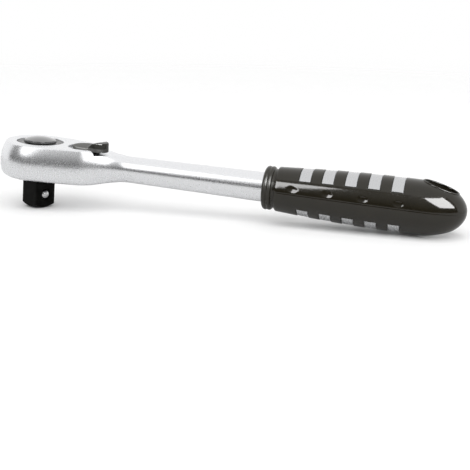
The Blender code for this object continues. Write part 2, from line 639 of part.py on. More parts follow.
def make_release():
    """Retaining collar, button, release rod, spring and ball of the quick release."""
    bore = BUTTON_RADIUS + FIT
    edge = UPPER_JOURNAL_RADIUS - COLLAR_EDGE
    turned("button_collar", [
        (bore, COLLAR_TOP), (edge, COLLAR_TOP), (UPPER_JOURNAL_RADIUS, COLLAR_TOP - COLLAR_EDGE),
        (UPPER_JOURNAL_RADIUS, COLLAR_TOP - COLLAR_FLANGE),
        (BUTTON_FLANGE_RADIUS, COLLAR_TOP - COLLAR_FLANGE), (BUTTON_FLANGE_RADIUS, COLLAR_BOTTOM),
        (bore, COLLAR_BOTTOM)], FINE, closed=True, parent=DRIVE_AXIS, material=BLACK_OXIDE)
    dome = (BUTTON_RADIUS ** 2 + BUTTON_CROWN ** 2) / (2 * BUTTON_CROWN)
    rim = math.asin(BUTTON_RADIUS / dome)
    centre = (0.0, HEAD_TOP + BUTTON_CROWN - dome)
    crown = arc(centre, dome, math.pi / 2, math.pi / 2 - rim, 6)
    socket = ROD_RADIUS + FIT
    socket_top = HEAD_TOP - BUTTON_SOCKET_ROOF
    turned("release_button", [(0, crown[0][1])] + crown[1:] + [
        (BUTTON_RADIUS, FLANGE_TOP), (BUTTON_FLANGE_RADIUS, FLANGE_TOP),
        (BUTTON_FLANGE_RADIUS, FLANGE_BOTTOM), (socket, FLANGE_BOTTOM), (socket, socket_top),
        (0, socket_top)], FINE, parent=BUTTON_AXIS, material=BLACK_OXIDE)
    ramp_top = BALL_HEIGHT + BUTTON_TRAVEL
    waist = ROD_RADIUS - ROD_RAMP * BUTTON_TRAVEL
    waist_top = ramp_top + BUTTON_TRAVEL
    turned("release_rod", [
        (0, socket_top - FIT), (ROD_RADIUS, socket_top - FIT), (ROD_RADIUS, waist_top + ROD_TAPER),
        (waist, waist_top), (waist, ramp_top), (ROD_RADIUS, BALL_HEIGHT), (ROD_RADIUS, ROD_END_HEIGHT),
        (0, ROD_END_HEIGHT)], COARSE, parent=BUTTON_AXIS, material=STEEL)
    coil("button_spring", BUTTON_SPRING_RADIUS, BUTTON_SPRING_WIRE, BUTTON_SPRING_TURNS,
         FLANGE_BOTTOM - WELL_FLOOR - 2 * FIT, parent=DRIVE_AXIS, location=(0, 0, WELL_FLOOR + FIT),
         material=SPRING_STEEL)
    ball("detent_ball", BALL_RADIUS, parent=BALL_AXIS, location=(BALL_CENTRE, 0, 0),
         material=POLISHED_STEEL)


def pawl_outline():
    """The blank of the pawl about its own pin, with a notch in its back.

    The notch's flanks are set off from the plunger's round nose, with the lever at one end
    of its swing.
    """
    inner = GEAR_ROOT_RADIUS - TOOTH_DEPTH
    arm = arc((-PAWL_PIN_X, 0), PAWL_BACK_RADIUS, PAWL_ARM_ANGLE, PAWL_END_ANGLE, 6)
    reach = PLUNGER_REACH - PLUNGER_RADIUS
    nose_x = LEVER_OFFSET - reach * math.cos(LEVER_SWING)
    nose_y = reach * math.sin(LEVER_SWING)
    along = nose_x * math.cos(PAWL_SWING) + nose_y * math.sin(PAWL_SWING)
    across = nose_y * math.cos(PAWL_SWING) - nose_x * math.sin(PAWL_SWING)
    notch = along - across * math.tan(NOTCH_FLANK) - (PLUNGER_RADIUS + NOTCH_GAP) / math.cos(NOTCH_FLANK)
    horn_x = notch + HORN_LENGTH * math.sin(NOTCH_FLANK)
    horn_y = HORN_LENGTH * math.cos(NOTCH_FLANK)
    half = [(notch, 0), (horn_x, horn_y), (horn_x - HORN_BACK, horn_y + HORN_WIDTH)]
    half += arm
    half += [(inner * math.cos(PAWL_END_ANGLE) - PAWL_PIN_X, inner * math.sin(PAWL_END_ANGLE))]
    half += [(inner - PAWL_PIN_X, 0)]
    return mirrored(half)


def make_pawl():
    """Two-ended rocking pawl, its teeth cut by the gear at both ends of its swing, and its pin."""
    bottom = POCKET_BOTTOM + FIT
    top = POCKET_TOP - FIT
    pawl = outline("pawl", pawl_outline(), bottom, top, parent=PAWL_AXIS, material=STEEL)
    for name, swing in (("cut_teeth_left", -PAWL_SWING), ("cut_teeth_right", PAWL_SWING)):
        swung = new_empty(name + "_axis", (0, 0, 0), swing, PAWL_AXIS)
        cut(pawl, outline(name, gear_outline(TOOTH_GAP), bottom - OVERCUT, top + OVERCUT, parent=swung,
                          location=(-PAWL_PIN_X, 0, 0)))
    cut(pawl, cylinder("cut_pawl_middle", GEAR_TIP_RADIUS + FIT, bottom - OVERCUT, top + OVERCUT, FINE,
                       parent=PAWL_AXIS, location=(-PAWL_PIN_X, 0, 0)))
    cut(pawl, cylinder("cut_pawl_hole", PAWL_PIN_RADIUS + FIT, bottom - OVERCUT, top + OVERCUT,
                       parent=PAWL_AXIS))
    cylinder("pawl_pin", PAWL_PIN_RADIUS, HEAD_BOTTOM + FIT, PIN_TOP - FIT,
             location=(PAWL_PIN_X, 0, 0), material=STEEL)


def tab_mesh():
    """The thumb tab as sections along the lever: up out of the plate, then a round end."""
    start = LEVER_LENGTH - TAB_LENGTH
    ramp = start + TAB_RAMP_LENGTH
    middle = LEVER_LENGTH - TAB_HALF_WIDTH
    end = [middle + TAB_HALF_WIDTH * math.sin(a) for a in np.linspace(0.0, TAB_END_ANGLE, 6)]
    stations = [start, (start + ramp) / 2, ramp] + end
    base = HEAD_TOP + LEVER_DISC_RISE - FIT / 2
    top = np.interp(stations, [start, ramp, middle, end[-2], end[-1]],
                    [base, HEAD_TOP + TAB_RAMP_RISE, HEAD_TOP + TAB_RISE, HEAD_TOP + TAB_RISE,
                     HEAD_TOP + TAB_RISE - TAB_BEVEL])
    under = np.interp(stations, [start, LEVER_DISC_RADIUS, middle],
                      [HEAD_TOP - TAB_UNDERSIDE_DROP, HEAD_TOP - TAB_UNDERSIDE_DROP,
                       HEAD_TOP + TAB_UNDERSIDE_RISE])
    rings = []
    for x, high, low in zip(stations, top, under):
        half = math.sqrt(TAB_HALF_WIDTH ** 2 - max(x - middle, 0.0) ** 2)
        edge = min(TAB_BEVEL, (high - low) / 3, half / 2)
        rings.append([(x, -half, low), (x, half, low), (x, half, high - edge),
                      (x, half - edge, high), (x, edge - half, high), (x, -half, high - edge)])
    shell = bmesh.new()
    grid = [[shell.verts.new(point) for point in ring] for ring in rings]
    for left, right in zip(grid, grid[1:]):
        for i in range(len(left)):
            j = (i + 1) % len(left)
            shell.faces.new((left[i], left[j], right[j], right[i]))
    shell.faces.new(reversed(grid[0]))
    shell.faces.new(grid[-1])
    bmesh.ops.recalc_face_normals(shell, faces=shell.faces)
    mesh = bpy.data.meshes.new("join_lever_tab")
    shell.to_mesh(mesh)
    shell.free()
    return mesh


def make_lever():
    """Reversing lever with its stem, and the spring plunger and snap ring on it."""
    plate_bottom = RECESS_FLOOR + FIT
    plate_top = HEAD_TOP + LEVER_DISC_RISE
    stem_bottom = POCKET_BOTTOM - STEM_SEAT + FIT
    groove_top = SNAP_HEIGHT + SNAP_WIRE / 2 + FIT
    groove_bottom = SNAP_HEIGHT - SNAP_WIRE / 2 - FIT
    groove = STEM_RADIUS - SNAP_WIRE / 2 - FIT
    lever = turned("reverse_lever", [
        (0, plate_top - FIT), (STEM_RADIUS, plate_top - FIT), (STEM_RADIUS, groove_top),
        (groove, groove_top), (groove, groove_bottom), (STEM_RADIUS, groove_bottom),
        (STEM_RADIUS, stem_bottom), (0, stem_bottom)], MEDIUM, parent=LEVER_AXIS, material=BLACK_LEVER)
    plate = cylinder("join_lever_plate", LEVER_DISC_RADIUS, plate_bottom, plate_top, MEDIUM,
                     parent=LEVER_AXIS)
    tab = place("join_lever_tab", tab_mesh(), parent=LEVER_AXIS)
    bore_end = PLUNGER_BORE_WALL - STEM_RADIUS
    bore = cylinder("cut_plunger_bore", PLUNGER_RADIUS + FIT, bore_end, STEM_RADIUS + OVERCUT, COARSE,
                    parent=LEVER_AXIS, location=(0, 0, PLUNGER_HEIGHT), rotation=(0, -math.pi / 2, 0))
    join(lever, plate, tab)
    cut(lever, bore)
    smooth(lever)
    nose = arc((0, PLUNGER_REACH - PLUNGER_RADIUS), PLUNGER_RADIUS, math.pi / 2, 0.0, 5)
    tail = PLUNGER_REACH - PLUNGER_LENGTH
    turned("detent_plunger", [(0, PLUNGER_REACH)] + nose[1:] + [(PLUNGER_RADIUS, tail), (0, tail)], COARSE,
           parent=PLUNGER_AXIS, material=STEEL)
    coil("detent_spring", PLUNGER_RADIUS - DETENT_SPRING_WIRE / 2, DETENT_SPRING_WIRE, DETENT_SPRING_TURNS,
         tail - bore_end - 2 * FIT, parent=PLUNGER_AXIS, location=(0, 0, bore_end + FIT),
         material=SPRING_STEEL)
    snap = bpy.data.curves.new("lever_snap_ring", "CURVE")
    snap.dimensions = "3D"
    snap.bevel_depth = SNAP_WIRE / 2
    snap.bevel_resolution = 1
    snap.use_fill_caps = True
    run = arc((0, 0), STEM_RADIUS + FIT / 2, SNAP_GAP / 2, 2 * math.pi - SNAP_GAP / 2, 24)
    spline = snap.splines.new("POLY")
    spline.points.add(len(run) - 1)
    for point, (x, y) in zip(spline.points, run):
        point.co = (x, y, 0.0, 1.0)
    place("lever_snap_ring", snap, location=(LEVER_X, 0, SNAP_HEIGHT), material=SPRING_STEEL)


def grip_radius(x):
    """Outer radius of the grip's body, behind the groove."""
    body = GRIP_START + BEAD_WIDTH + GROOVE_WIDTH
    share = min(max((x - body) / (GRIP_BELLY_X - body), 0.0), 1.0)
    radius = GRIP_FRONT_RADIUS + (GRIP_BELLY_RADIUS - GRIP_FRONT_RADIUS) * math.sin(share * math.pi / 2)
    into_nose = max(x - (GRIP_END - NOSE_LENGTH), 0.0) / NOSE_LENGTH
    return radius * math.sqrt(max(1.0 - into_nose ** 2, 0.0))


def body_profile(start, end, inset, count):
    """Points of the grip's body between two stations, drawn in by an inset, nose end first."""
    return [(grip_radius(x) - inset, x) for x in np.linspace(end, start, count + 1)]


def wedges(name, width, half_angle):
    """Wedges across the top of the grip and across the bottom, one for each window."""
    made = []
    reach = 2 * GRIP_BELLY_RADIUS
    middles = np.linspace(CORE_START + WINDOW_START_MARGIN, CORE_END - WINDOW_END_MARGIN, WINDOW_COUNT)
    for side, facing in (("top", math.pi), ("bottom", 0.0)):
        for number in range(WINDOW_COUNT):
            low = middles[number] - width / 2
            corners = [(0, 0)] + [(reach * math.cos(facing + a), reach * math.sin(facing + a))
                                  for a in (-half_angle, 0.0, half_angle)]
            made.append(outline(f"{name}_{side}_{number + 1}", corners, low, low + width,
                                parent=HANDLE_AXIS))
    return made


def make_core():
    """The bright core under the grip, raised into its windows and bored for the tang."""
    body = body_profile(CORE_START, CORE_END, WINDOW_RECESS, 8)
    core = turned("grip_core", [(0, CORE_END)] + body + [(0, CORE_START)], FINE,
                  parent=HANDLE_AXIS, material=PLATED_CORE)
    first = CORE_START - FIT
    last = CORE_END + FIT
    inside = body_profile(first, last, GRIP_WALL + FIT, 8)
    sleeve = turned("cut_under_sleeve", body_profile(first, last, -FIT, 1) + inside[::-1], FINE,
                    closed=True, parent=HANDLE_AXIS)
    side = FIT / GRIP_BELLY_RADIUS
    cut(sleeve, *wedges("land", WINDOW_WIDTH - 2 * FIT, WINDOW_HALF_ANGLE - side))
    cut(core, sleeve)
    corner = TANG_ROUND + FIT
    section = half_section(TANG_HALF_WIDTH + FIT, TANG_HALF_HEIGHT + FIT, corner, corner, 0.0)
    upright = [(-z, y) for y, z in section]
    bore_end = CORE_END - TANG_END_WALL + FIT
    cut(core, outline("cut_tang_bore", mirrored(upright), CORE_START - OVERCUT, bore_end,
                      parent=HANDLE_AXIS))
    smooth(core)


def make_grip():
    """The moulded grip: bead, groove and swelling body, with windows, dimples and hanging hole."""
    bead_end = GRIP_START + BEAD_WIDTH
    body_start = bead_end + GROOVE_WIDTH
    nose = GRIP_END - NOSE_LENGTH
    profile = [(0, GRIP_END)]
    for share in np.linspace(0.0, 1.0, 8)[1:]:
        x = nose + NOSE_LENGTH * math.cos(share * math.pi / 2)
        profile.append((grip_radius(x), x))
    profile += body_profile(body_start + BODY_LIP, nose, 0.0, 7)[1:]
    profile += [(GRIP_FRONT_RADIUS - BODY_LIP / 2, body_start), (GROOVE_RADIUS, body_start),
                (GROOVE_RADIUS, bead_end)]
    profile += arc((BEAD_RADIUS - BEAD_ROUND, bead_end - BEAD_ROUND), BEAD_ROUND, math.pi / 2, 0.0, 3)
    profile += arc((BEAD_RADIUS - BEAD_ROUND, GRIP_START + BEAD_ROUND), BEAD_ROUND, 0.0, -math.pi / 2, 3)
    profile += [(0, GRIP_START)]
    grip = turned("grip", profile, FINE, parent=HANDLE_AXIS, material=BLACK_PLASTIC)
    neck = SHANK_REAR_RADIUS + FIT
    cavity_start = CORE_START - FIT
    cavity_end = CORE_END + FIT
    mouth = GRIP_START - OVERCUT
    inside = body_profile(cavity_start, cavity_end, GRIP_WALL, 8)
    cavity = turned("cut_core_cavity", [(0, cavity_end)] + inside
                    + [(neck, cavity_start), (neck, mouth), (0, mouth)], FINE, parent=HANDLE_AXIS)
    cut(grip, cavity, *wedges("cut_window", WINDOW_WIDTH, WINDOW_HALF_ANGLE))
    stretch = (DIMPLE_HALF_LENGTH, DIMPLE_HALF_DEPTH, DIMPLE_HALF_HEIGHT)
    middles = np.linspace(CORE_START + DIMPLE_START_MARGIN, CORE_END - DIMPLE_END_MARGIN, DIMPLE_COUNT)
    for side in (-1, 1):
        for number, x in enumerate(middles):
            skin = math.sqrt(grip_radius(x) ** 2 - DIMPLE_RISE ** 2)
            out = side * (skin + DIMPLE_HALF_DEPTH - DIMPLE_DEPTH)
            cut(grip, ball(f"cut_dimple_{side + 1}_{number + 1}", 1.0, stretch, 7,
                           location=(x, out, AXIS_HEIGHT + DIMPLE_RISE)))
    reach = GRIP_BELLY_RADIUS + OVERCUT
    tall = reach / math.sin(HANG_FLARE_ANGLE)
    flare = [(1.0 + HANG_FLARE * (1 - math.cos(a)) / HANG_HALF_WIDTH, tall * math.sin(a))
             for a in np.linspace(HANG_FLARE_ANGLE, -HANG_FLARE_ANGLE, 7)]
    hole = turned("cut_hanging_hole", [(0, flare[0][1])] + flare + [(0, flare[-1][1])], MEDIUM,
                  location=(HANG_X, 0, AXIS_HEIGHT))
    hole.scale = (HANG_HALF_LENGTH, HANG_HALF_WIDTH, 1.0)
    cut(grip, hole)
    smooth(grip)


clear_scene()
PARTS = new_collection("ratchet_handle")
CUTTERS = new_collection("cutters")

SATIN_CHROME = new_material("satin_chrome", (0.74, 0.75, 0.77), 0.32, 1.0)
STEEL = new_material("bright_steel", (0.48, 0.49, 0.50), 0.35, 1.0)
POLISHED_STEEL = new_material("polished_steel", (0.62, 0.62, 0.62), 0.12, 1.0)
SPRING_STEEL = new_material("spring_steel", (0.30, 0.31, 0.33), 0.40, 1.0)
BLACK_OXIDE = new_material("black_oxide", (0.016, 0.016, 0.016), 0.45, 0.4)
BLACK_LEVER = new_material("black_lever", (0.022, 0.021, 0.020), 0.38, 0.2)
BLACK_PLASTIC = new_material("black_plastic", (0.012, 0.011, 0.010), 0.22, 0.0)
PLATED_CORE = new_material("plated_core", (0.66, 0.66, 0.66), 0.28, 1.0)

DRIVE_AXIS = new_empty("drive_axis", (0, 0, 0))
BUTTON_AXIS = new_empty("button_axis", (0, 0, 0), 0.0, DRIVE_AXIS)
BALL_AXIS = new_empty("ball_axis", (0, 0, BALL_HEIGHT), DRIVE_TURN, DRIVE_AXIS)
PAWL_AXIS = new_empty("pawl_axis", (PAWL_PIN_X, 0, 0), PAWL_SWING)
LEVER_AXIS = new_empty("lever_axis", (LEVER_X, 0, 0), -LEVER_SWING)
PLUNGER_AXIS = new_empty("plunger_axis", (0, 0, PLUNGER_HEIGHT), 0.0, LEVER_AXIS)
PLUNGER_AXIS.rotation_euler = (0, -math.pi / 2, 0)
HANDLE_AXIS = new_empty("handle_axis", (0, 0, AXIS_HEIGHT))
HANDLE_AXIS.rotation_euler = (0, math.pi / 2, 0)

make_head()
make_cover()
make_drive()
make_release()
make_pawl()
make_lever()
make_core()
make_grip()
bpy.context.view_layer.update()
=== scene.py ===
# %% [markdown]
# # A ratchet handle, dressed for its portrait
#
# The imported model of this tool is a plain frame: every piece has the right size and place, but its
# curves are made of flat facets and its finishes are single colours. This lesson builds the finer
# surfaces and the finishes over that frame. Everything is in metres, in the frame's own axes: the
# drive turns about Z, its end face is at the origin, and the handle runs along +X.

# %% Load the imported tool
import math

import bmesh
import bpy
import numpy as np
from mathutils import Matrix


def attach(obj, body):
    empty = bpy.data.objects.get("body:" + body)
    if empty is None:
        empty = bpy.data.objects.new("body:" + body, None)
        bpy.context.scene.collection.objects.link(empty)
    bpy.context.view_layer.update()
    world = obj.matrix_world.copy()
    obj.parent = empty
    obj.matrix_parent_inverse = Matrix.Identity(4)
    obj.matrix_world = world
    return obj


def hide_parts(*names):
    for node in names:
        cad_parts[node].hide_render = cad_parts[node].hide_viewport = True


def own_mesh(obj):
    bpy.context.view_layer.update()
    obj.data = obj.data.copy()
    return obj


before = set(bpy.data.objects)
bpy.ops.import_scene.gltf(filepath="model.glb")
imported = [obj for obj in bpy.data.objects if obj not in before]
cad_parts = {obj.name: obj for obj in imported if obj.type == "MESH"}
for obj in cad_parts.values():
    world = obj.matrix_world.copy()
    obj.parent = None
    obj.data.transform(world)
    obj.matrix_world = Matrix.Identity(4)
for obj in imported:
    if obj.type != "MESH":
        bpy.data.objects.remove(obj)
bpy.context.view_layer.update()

# %% [markdown]
# The sizes below repeat the part's own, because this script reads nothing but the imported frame.
# A length is written in millimetres times MM, and a height counts from the drive's end face.

# %% Sizes shared by several pieces
MM = 0.001
FIT = 0.3 * MM
HEAD_BOTTOM = 17.2 * MM
HEAD_TOP = 36.3 * MM
AXIS_HEIGHT = (HEAD_BOTTOM + HEAD_TOP) / 2
CEILING = HEAD_TOP - 4.4 * MM
LEVER_X = 27.0 * MM
LEVER_TURN = math.radians(-25.0)
PIN_X = 18.2 * MM
PLUNGER_HEIGHT = 26.6 * MM
DRIVE_TURN = math.radians(-29.2)
GRIP_START = 127.3 * MM
GRIP_END = 232.1 * MM
print("handle axis at", round(1000 * AXIS_HEIGHT, 2), "mm")

# %% [markdown]
# The camera stands low in front of the handle, a little to the drive's side. Its place was worked out
# by fitting about thirty measured points. Three turns carry the tool into the camera's own
# axes (right, away, up): yaw swings the grip towards the camera, roll lets the grip end drop, and
# elevation looks down from above. The camera is placed with the same turns undone.

# %% Camera
FRAME_PIXELS = 470
FOCAL_PIXELS = 1080.1
ELEVATION, YAW, ROLL = np.radians([15.13, 13.69, 4.53])
HEAD_SEEN_AT = np.array([-106.68, 591.97, 51.64]) * MM


def turn_matrix(axis, angle):
    """Turn by an angle about one of the three axes: cosines on the diagonal, sines across it."""
    a, b = [(1, 2), (2, 0), (0, 1)][axis]
    made = np.eye(3)
    made[a, a] = made[b, b] = math.cos(angle)
    made[a, b], made[b, a] = -math.sin(angle), math.sin(angle)
    return made


to_camera = turn_matrix(0, ELEVATION) @ turn_matrix(1, ROLL) @ turn_matrix(2, -YAW)
right, away, up = to_camera
eye = -to_camera.T @ HEAD_SEEN_AT + np.array([0, 0, HEAD_TOP])
camera_data = bpy.data.cameras.new("camera")
camera_data.sensor_width = 36.0
camera_data.lens = camera_data.sensor_width * FOCAL_PIXELS / FRAME_PIXELS
camera_data.clip_start, camera_data.clip_end = 0.01, 50.0
camera = bpy.data.objects.new("camera", camera_data)
bpy.context.scene.collection.objects.link(camera)
placing = np.eye(4)
placing[:3, 0], placing[:3, 1], placing[:3, 2], placing[:3, 3] = right, up, -away, eye
camera.matrix_world = Matrix(placing.tolist())
bpy.context.scene.camera = camera
print("camera at", np.round(1000 * eye, 1), "mm, lens", round(camera_data.lens, 1), "mm")

# %% [markdown]
# A shape here is a grid of points worked out as whole arrays, and these helpers turn it into a mesh.
# A grid can wrap round, so that its last column joins its first. Points that fall together, as at the
# pole of a dome, are welded, and the faces are turned outwards.

# %% Helpers that turn arrays into meshes


def grid_faces(rows, columns, wrap=False):
    """Four corners of each cell of a grid that is numbered row by row."""
    row = np.arange(rows - 1)[:, None] * columns
    left = np.arange(columns if wrap else columns - 1)[None, :]
    after = (left + 1) % columns
    corners = [row + left, row + after, row + columns + after, row + columns + left]
    return np.stack(corners, axis=-1).reshape(-1, 4)


def weld(mesh, outwards=False):
    """Merge points within a thousandth of a millimetre, drop faces left with no area, and turn faces out."""
    shell = bmesh.new()
    shell.from_mesh(mesh)
    bmesh.ops.remove_doubles(shell, verts=shell.verts, dist=0.001 * MM)
    bmesh.ops.dissolve_degenerate(shell, edges=shell.edges, dist=0.001 * MM)
    if outwards:
        bmesh.ops.recalc_face_normals(shell, faces=shell.faces)
    shell.to_mesh(mesh)
    shell.free()


def piece(name, points, faces):
    """An object from points and faces, welded, with its faces turned outwards."""
    mesh = bpy.data.meshes.new(name)
    mesh.from_pydata(np.asarray(points).reshape(-1, 3).tolist(), [], [list(f) for f in faces])
    weld(mesh, outwards=True)
    made = bpy.data.objects.new(name, mesh)
    bpy.context.scene.collection.objects.link(made)
    return made


def turned(name, profile, steps=128, closed=False, centre=(0, 0, 0), axis="z"):
    """A profile of (radius, height) carried round an axis: (r cos t, r sin t, h) for t in a full turn."""
    radius, height = np.array(profile).T
    if closed:
        radius, height = np.append(radius, radius[0]), np.append(height, height[0])
    angle = np.linspace(0, 2 * np.pi, steps, endpoint=False)
    a = radius[:, None] * np.cos(angle)
    b = radius[:, None] * np.sin(angle)
    h = np.broadcast_to(height[:, None], a.shape)
    points = np.stack([a, b, h] if axis == "z" else [h, a, b], axis=-1) + np.array(centre)
    return piece(name, points, grid_faces(len(radius), steps, wrap=True))


def slab(name, outline_at, levels):
    """Outlines stacked at (inset, height) levels and closed with a cap at each end."""
    rings = [np.column_stack([outline_at(inset), np.full(len(outline_at(inset)), height)])
             for inset, height in levels]
    count = len(rings[0])
    faces = [list(f) for f in grid_faces(len(rings), count, wrap=True)]
    faces += [list(range(count)), list(range((len(rings) - 1) * count, len(rings) * count))]
    return piece(name, np.concatenate(rings), faces)


def arc(centre, radius, start, end, count):
    """Points on an arc, both ends included: centre plus radius times (cos, sin)."""
    angle = np.linspace(start, end, count)
    return np.column_stack([centre[0] + radius * np.cos(angle), centre[1] + radius * np.sin(angle)])


def mirrored(points):
    """Half an outline above the X axis, then the same below it."""
    return np.concatenate([points, (points * (1, -1))[::-1][np.abs(points[::-1, 1]) > 1e-9]])


def rounded_edge(radius, height, count=5):
    """(inset, height) levels of an edge rounded up to a height: a quarter of a circle."""
    angle = np.linspace(0, np.pi / 2, count)
    return list(zip(radius * (1 - np.cos(angle)), height - radius + radius * np.sin(angle)))


def placed(item, turn=0.0, move=(0, 0, 0)):
    """Turn a mesh about Z and move it, in its points."""
    item.data.transform(Matrix.Translation(move) @ Matrix.Rotation(turn, 4, "Z"))
    return item


def carve(item, *others, operation="DIFFERENCE"):
    """Cut, join or intersect with other shapes, keep the result as the mesh and drop the shapes."""
    for other in others:
        step = item.modifiers.new(other.name, "BOOLEAN")
        step.operation, step.solver, step.object = operation, "EXACT", other
    graph = bpy.context.evaluated_depsgraph_get()
    made = bpy.data.meshes.new_from_object(item.evaluated_get(graph), depsgraph=graph)
    weld(made)
    item.modifiers.clear()
    old, item.data = item.data, made
    bpy.data.meshes.remove(old)
    made.name = item.name
    for other in others:
        bpy.data.objects.remove(other, do_unlink=True)
    return item


def dress(item, body, node, finish, degrees=32.0):
    """Smooth a piece except at its hard edges, and let it stand for its node on its body."""
    item.data.materials.clear()
    item.data.materials.append(finish)
    item.data.shade_smooth()
    item.data.set_sharp_from_angle(angle=math.radians(degrees))
    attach(item, body)
    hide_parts(node)
    item.data.calc_loop_triangles()
    print(item.name, "has", len(item.data.loop_triangles), "triangles")


print("helpers ready")

# %% [markdown]
# The grip's outside is a body of revolution about the handle's axis, and the floor, the grip and the core
# under it all follow its radius. Behind the groove it swells along a quarter of a sine to its belly, and the
# nose is a quarter of an ellipse.

# %% Radius of the grip along the handle
BODY_START = GRIP_START + 6.6 * MM
BODY_RADIUS = 11.7 * MM
BELLY_RADIUS = 14.3 * MM
BELLY_X = GRIP_START + 0.65 * (GRIP_END - GRIP_START)
NOSE_LENGTH = 22.0 * MM


def grip_radius(x):
    """Front radius plus a quarter sine up to the belly, times a quarter ellipse over the nose."""
    swell = np.sin(np.clip((x - BODY_START) / (BELLY_X - BODY_START), 0, 1) * np.pi / 2)
    nose = np.clip((x - (GRIP_END - NOSE_LENGTH)) / NOSE_LENGTH, 0, 1)
    return (BODY_RADIUS + (BELLY_RADIUS - BODY_RADIUS) * swell) * np.sqrt(1 - nose ** 2)


along = np.linspace(BODY_START, GRIP_END, 6)
print("grip radius in mm", np.round(1000 * grip_radius(along), 2))

# %% [markdown]
# The tool lies on two things: the edge of the drive's end and the belly of the grip. The floor is the
# plane through both, so it leans a little against the tool's own axes. Its slope is the flattest line
# from the drive's edge that meets the underside of the grip.

# %% Floor under the tool
DRIVE_EDGE_X = 5.7 * MM
FLOOR_SIZE = 6.0
under = np.linspace(GRIP_START, GRIP_END - MM, 400)
floor_slope = np.min((AXIS_HEIGHT - grip_radius(under)) / (under - DRIVE_EDGE_X))
side = np.array([-0.5, 0.5]) * FLOOR_SIZE
floor_x, floor_y = np.meshgrid(side, side, indexing="ij")
floor_points = np.stack([floor_x, floor_y, (floor_x - DRIVE_EDGE_X) * floor_slope], axis=-1)
floor = piece("floor", floor_points, grid_faces(2, 2))
print("floor leans", round(math.degrees(math.atan(floor_slope)), 2), "degrees")

# %% [markdown]
# The set is a plain white studio. The world is an even white dome. The eye and mirrors see it at full white, and
# matt surfaces get two thirds of their light from it and the rest from one broad lamp above, so that a colour
# comes out about as it is written. The floor is matt and glows a little to the eye: it is white where nothing
# shades it, it still takes the tool's soft shadow, and away from the tool it fades out. Close under the tool an
# ambient occlusion node darkens the glow that the eye sees: that is a painted contact shadow.

# %% Floor finish
FLOOR_WHITE = 0.72
GLOW_SEEN, GLOW_MIRRORED = 0.30, 0.05
# How far from the tool the painted contact shadow in the floor's glow reaches.
PAINTED_SHADE_REACH = 8 * MM
FLOOR_FADE = (0.45, 1.10)
floor_finish = bpy.data.materials.new("studio_floor")
floor_finish.use_nodes = True
nodes, links = floor_finish.node_tree.nodes, floor_finish.node_tree.links
nodes.clear()
floor_out = nodes.new("ShaderNodeOutputMaterial")
floor_matt = nodes.new("ShaderNodeBsdfDiffuse")
floor_matt.inputs["Color"].default_value = (FLOOR_WHITE, FLOOR_WHITE, FLOOR_WHITE, 1)
floor_ray = nodes.new("ShaderNodeLightPath")
glow = nodes.new("ShaderNodeMath")
glow.operation = "MULTIPLY_ADD"
links.new(floor_ray.outputs["Is Camera Ray"], glow.inputs[0])
# Ambient occlusion darkens the glow the eye sees close under the tool: a painted contact shadow, not cast by a lamp.
painted_contact_shade = nodes.new("ShaderNodeAmbientOcclusion")
painted_contact_shade.inputs["Color"].default_value = (GLOW_SEEN, GLOW_SEEN, GLOW_SEEN, 1)
painted_contact_shade.inputs["Distance"].default_value = PAINTED_SHADE_REACH
links.new(painted_contact_shade.outputs["Color"], glow.inputs[1])
mirrored_glow = nodes.new("ShaderNodeMath")
mirrored_glow.operation = "MULTIPLY"
mirrored_glow.inputs[1].default_value = GLOW_MIRRORED
links.new(floor_ray.outputs["Is Glossy Ray"], mirrored_glow.inputs[0])
links.new(mirrored_glow.outputs[0], glow.inputs[2])
floor_light = nodes.new("ShaderNodeEmission")
links.new(glow.outputs[0], floor_light.inputs["Strength"])
floor_sum = nodes.new("ShaderNodeAddShader")
links.new(floor_matt.outputs[0], floor_sum.inputs[0])
links.new(floor_light.outputs[0], floor_sum.inputs[1])
spot = nodes.new("ShaderNodeVectorMath")
spot.operation = "DISTANCE"
links.new(nodes.new("ShaderNodeTexCoord").outputs["Object"], spot.inputs[0])
spot.inputs[1].default_value = (0.13, 0, 0)
fade = nodes.new("ShaderNodeMapRange")
fade.interpolation_type = "SMOOTHSTEP"
fade.inputs["From Min"].default_value, fade.inputs["From Max"].default_value = FLOOR_FADE
links.new(spot.outputs["Value"], fade.inputs["Value"])
floor_mix = nodes.new("ShaderNodeMixShader")
links.new(fade.outputs[0], floor_mix.inputs[0])
links.new(floor_sum.outputs[0], floor_mix.inputs[1])
links.new(nodes.new("ShaderNodeBsdfTransparent").outputs[0], floor_mix.inputs[2])
links.new(floor_mix.outputs[0], floor_out.inputs["Surface"])
floor.data.materials.append(floor_finish)
print("floor fades out between", *FLOOR_FADE, "m")

# %% World
DOME_LIGHT = 0.65
world = bpy.data.worlds.new("studio")
bpy.context.scene.world = world
world.use_nodes = True
nodes, links = world.node_tree.nodes, world.node_tree.links
dome_level = nodes.new("ShaderNodeMapRange")
dome_level.inputs["To Min"].default_value = 1.0
dome_level.inputs["To Max"].default_value = DOME_LIGHT
links.new(nodes.new("ShaderNodeLightPath").outputs["Is Diffuse Ray"], dome_level.inputs["Value"])
links.new(dome_level.outputs[0], nodes["Background"].inputs["Strength"])
nodes["Background"].inputs["Color"].default_value = (1, 1, 1, 1)
bpy.context.scene.view_settings.view_transform = "Standard"
print("white studio ready")

# %% [markdown]
# Bright metal shows what stands round it, so the set needs edges. One softbox stands in front on the left
# and one on the right. Where they go was worked out backwards: each edge of a highlight gives a normal of the
# surface, and the normal gives the direction that it mirrors. Both are there for their reflections only, and matt
# surfaces get their light from the broad lamp above the camera, which shows in no reflection.

# %% Softboxes
MIDDLE = np.array([0.13, 0.0, 0.03])
SOFTBOX_DISTANCE, WALL_DISTANCE = 3.0, 4.0
KEY_LIGHT = 2.35


def heading(azimuth, elevation):
    """Direction from the tool: azimuth from -Y towards +X, elevation upwards, in degrees."""
    a, e = np.radians(azimuth), np.radians(elevation)
    return np.stack(np.broadcast_arrays(np.sin(a) * np.cos(e), -np.cos(a) * np.cos(e), np.sin(e)), axis=-1)


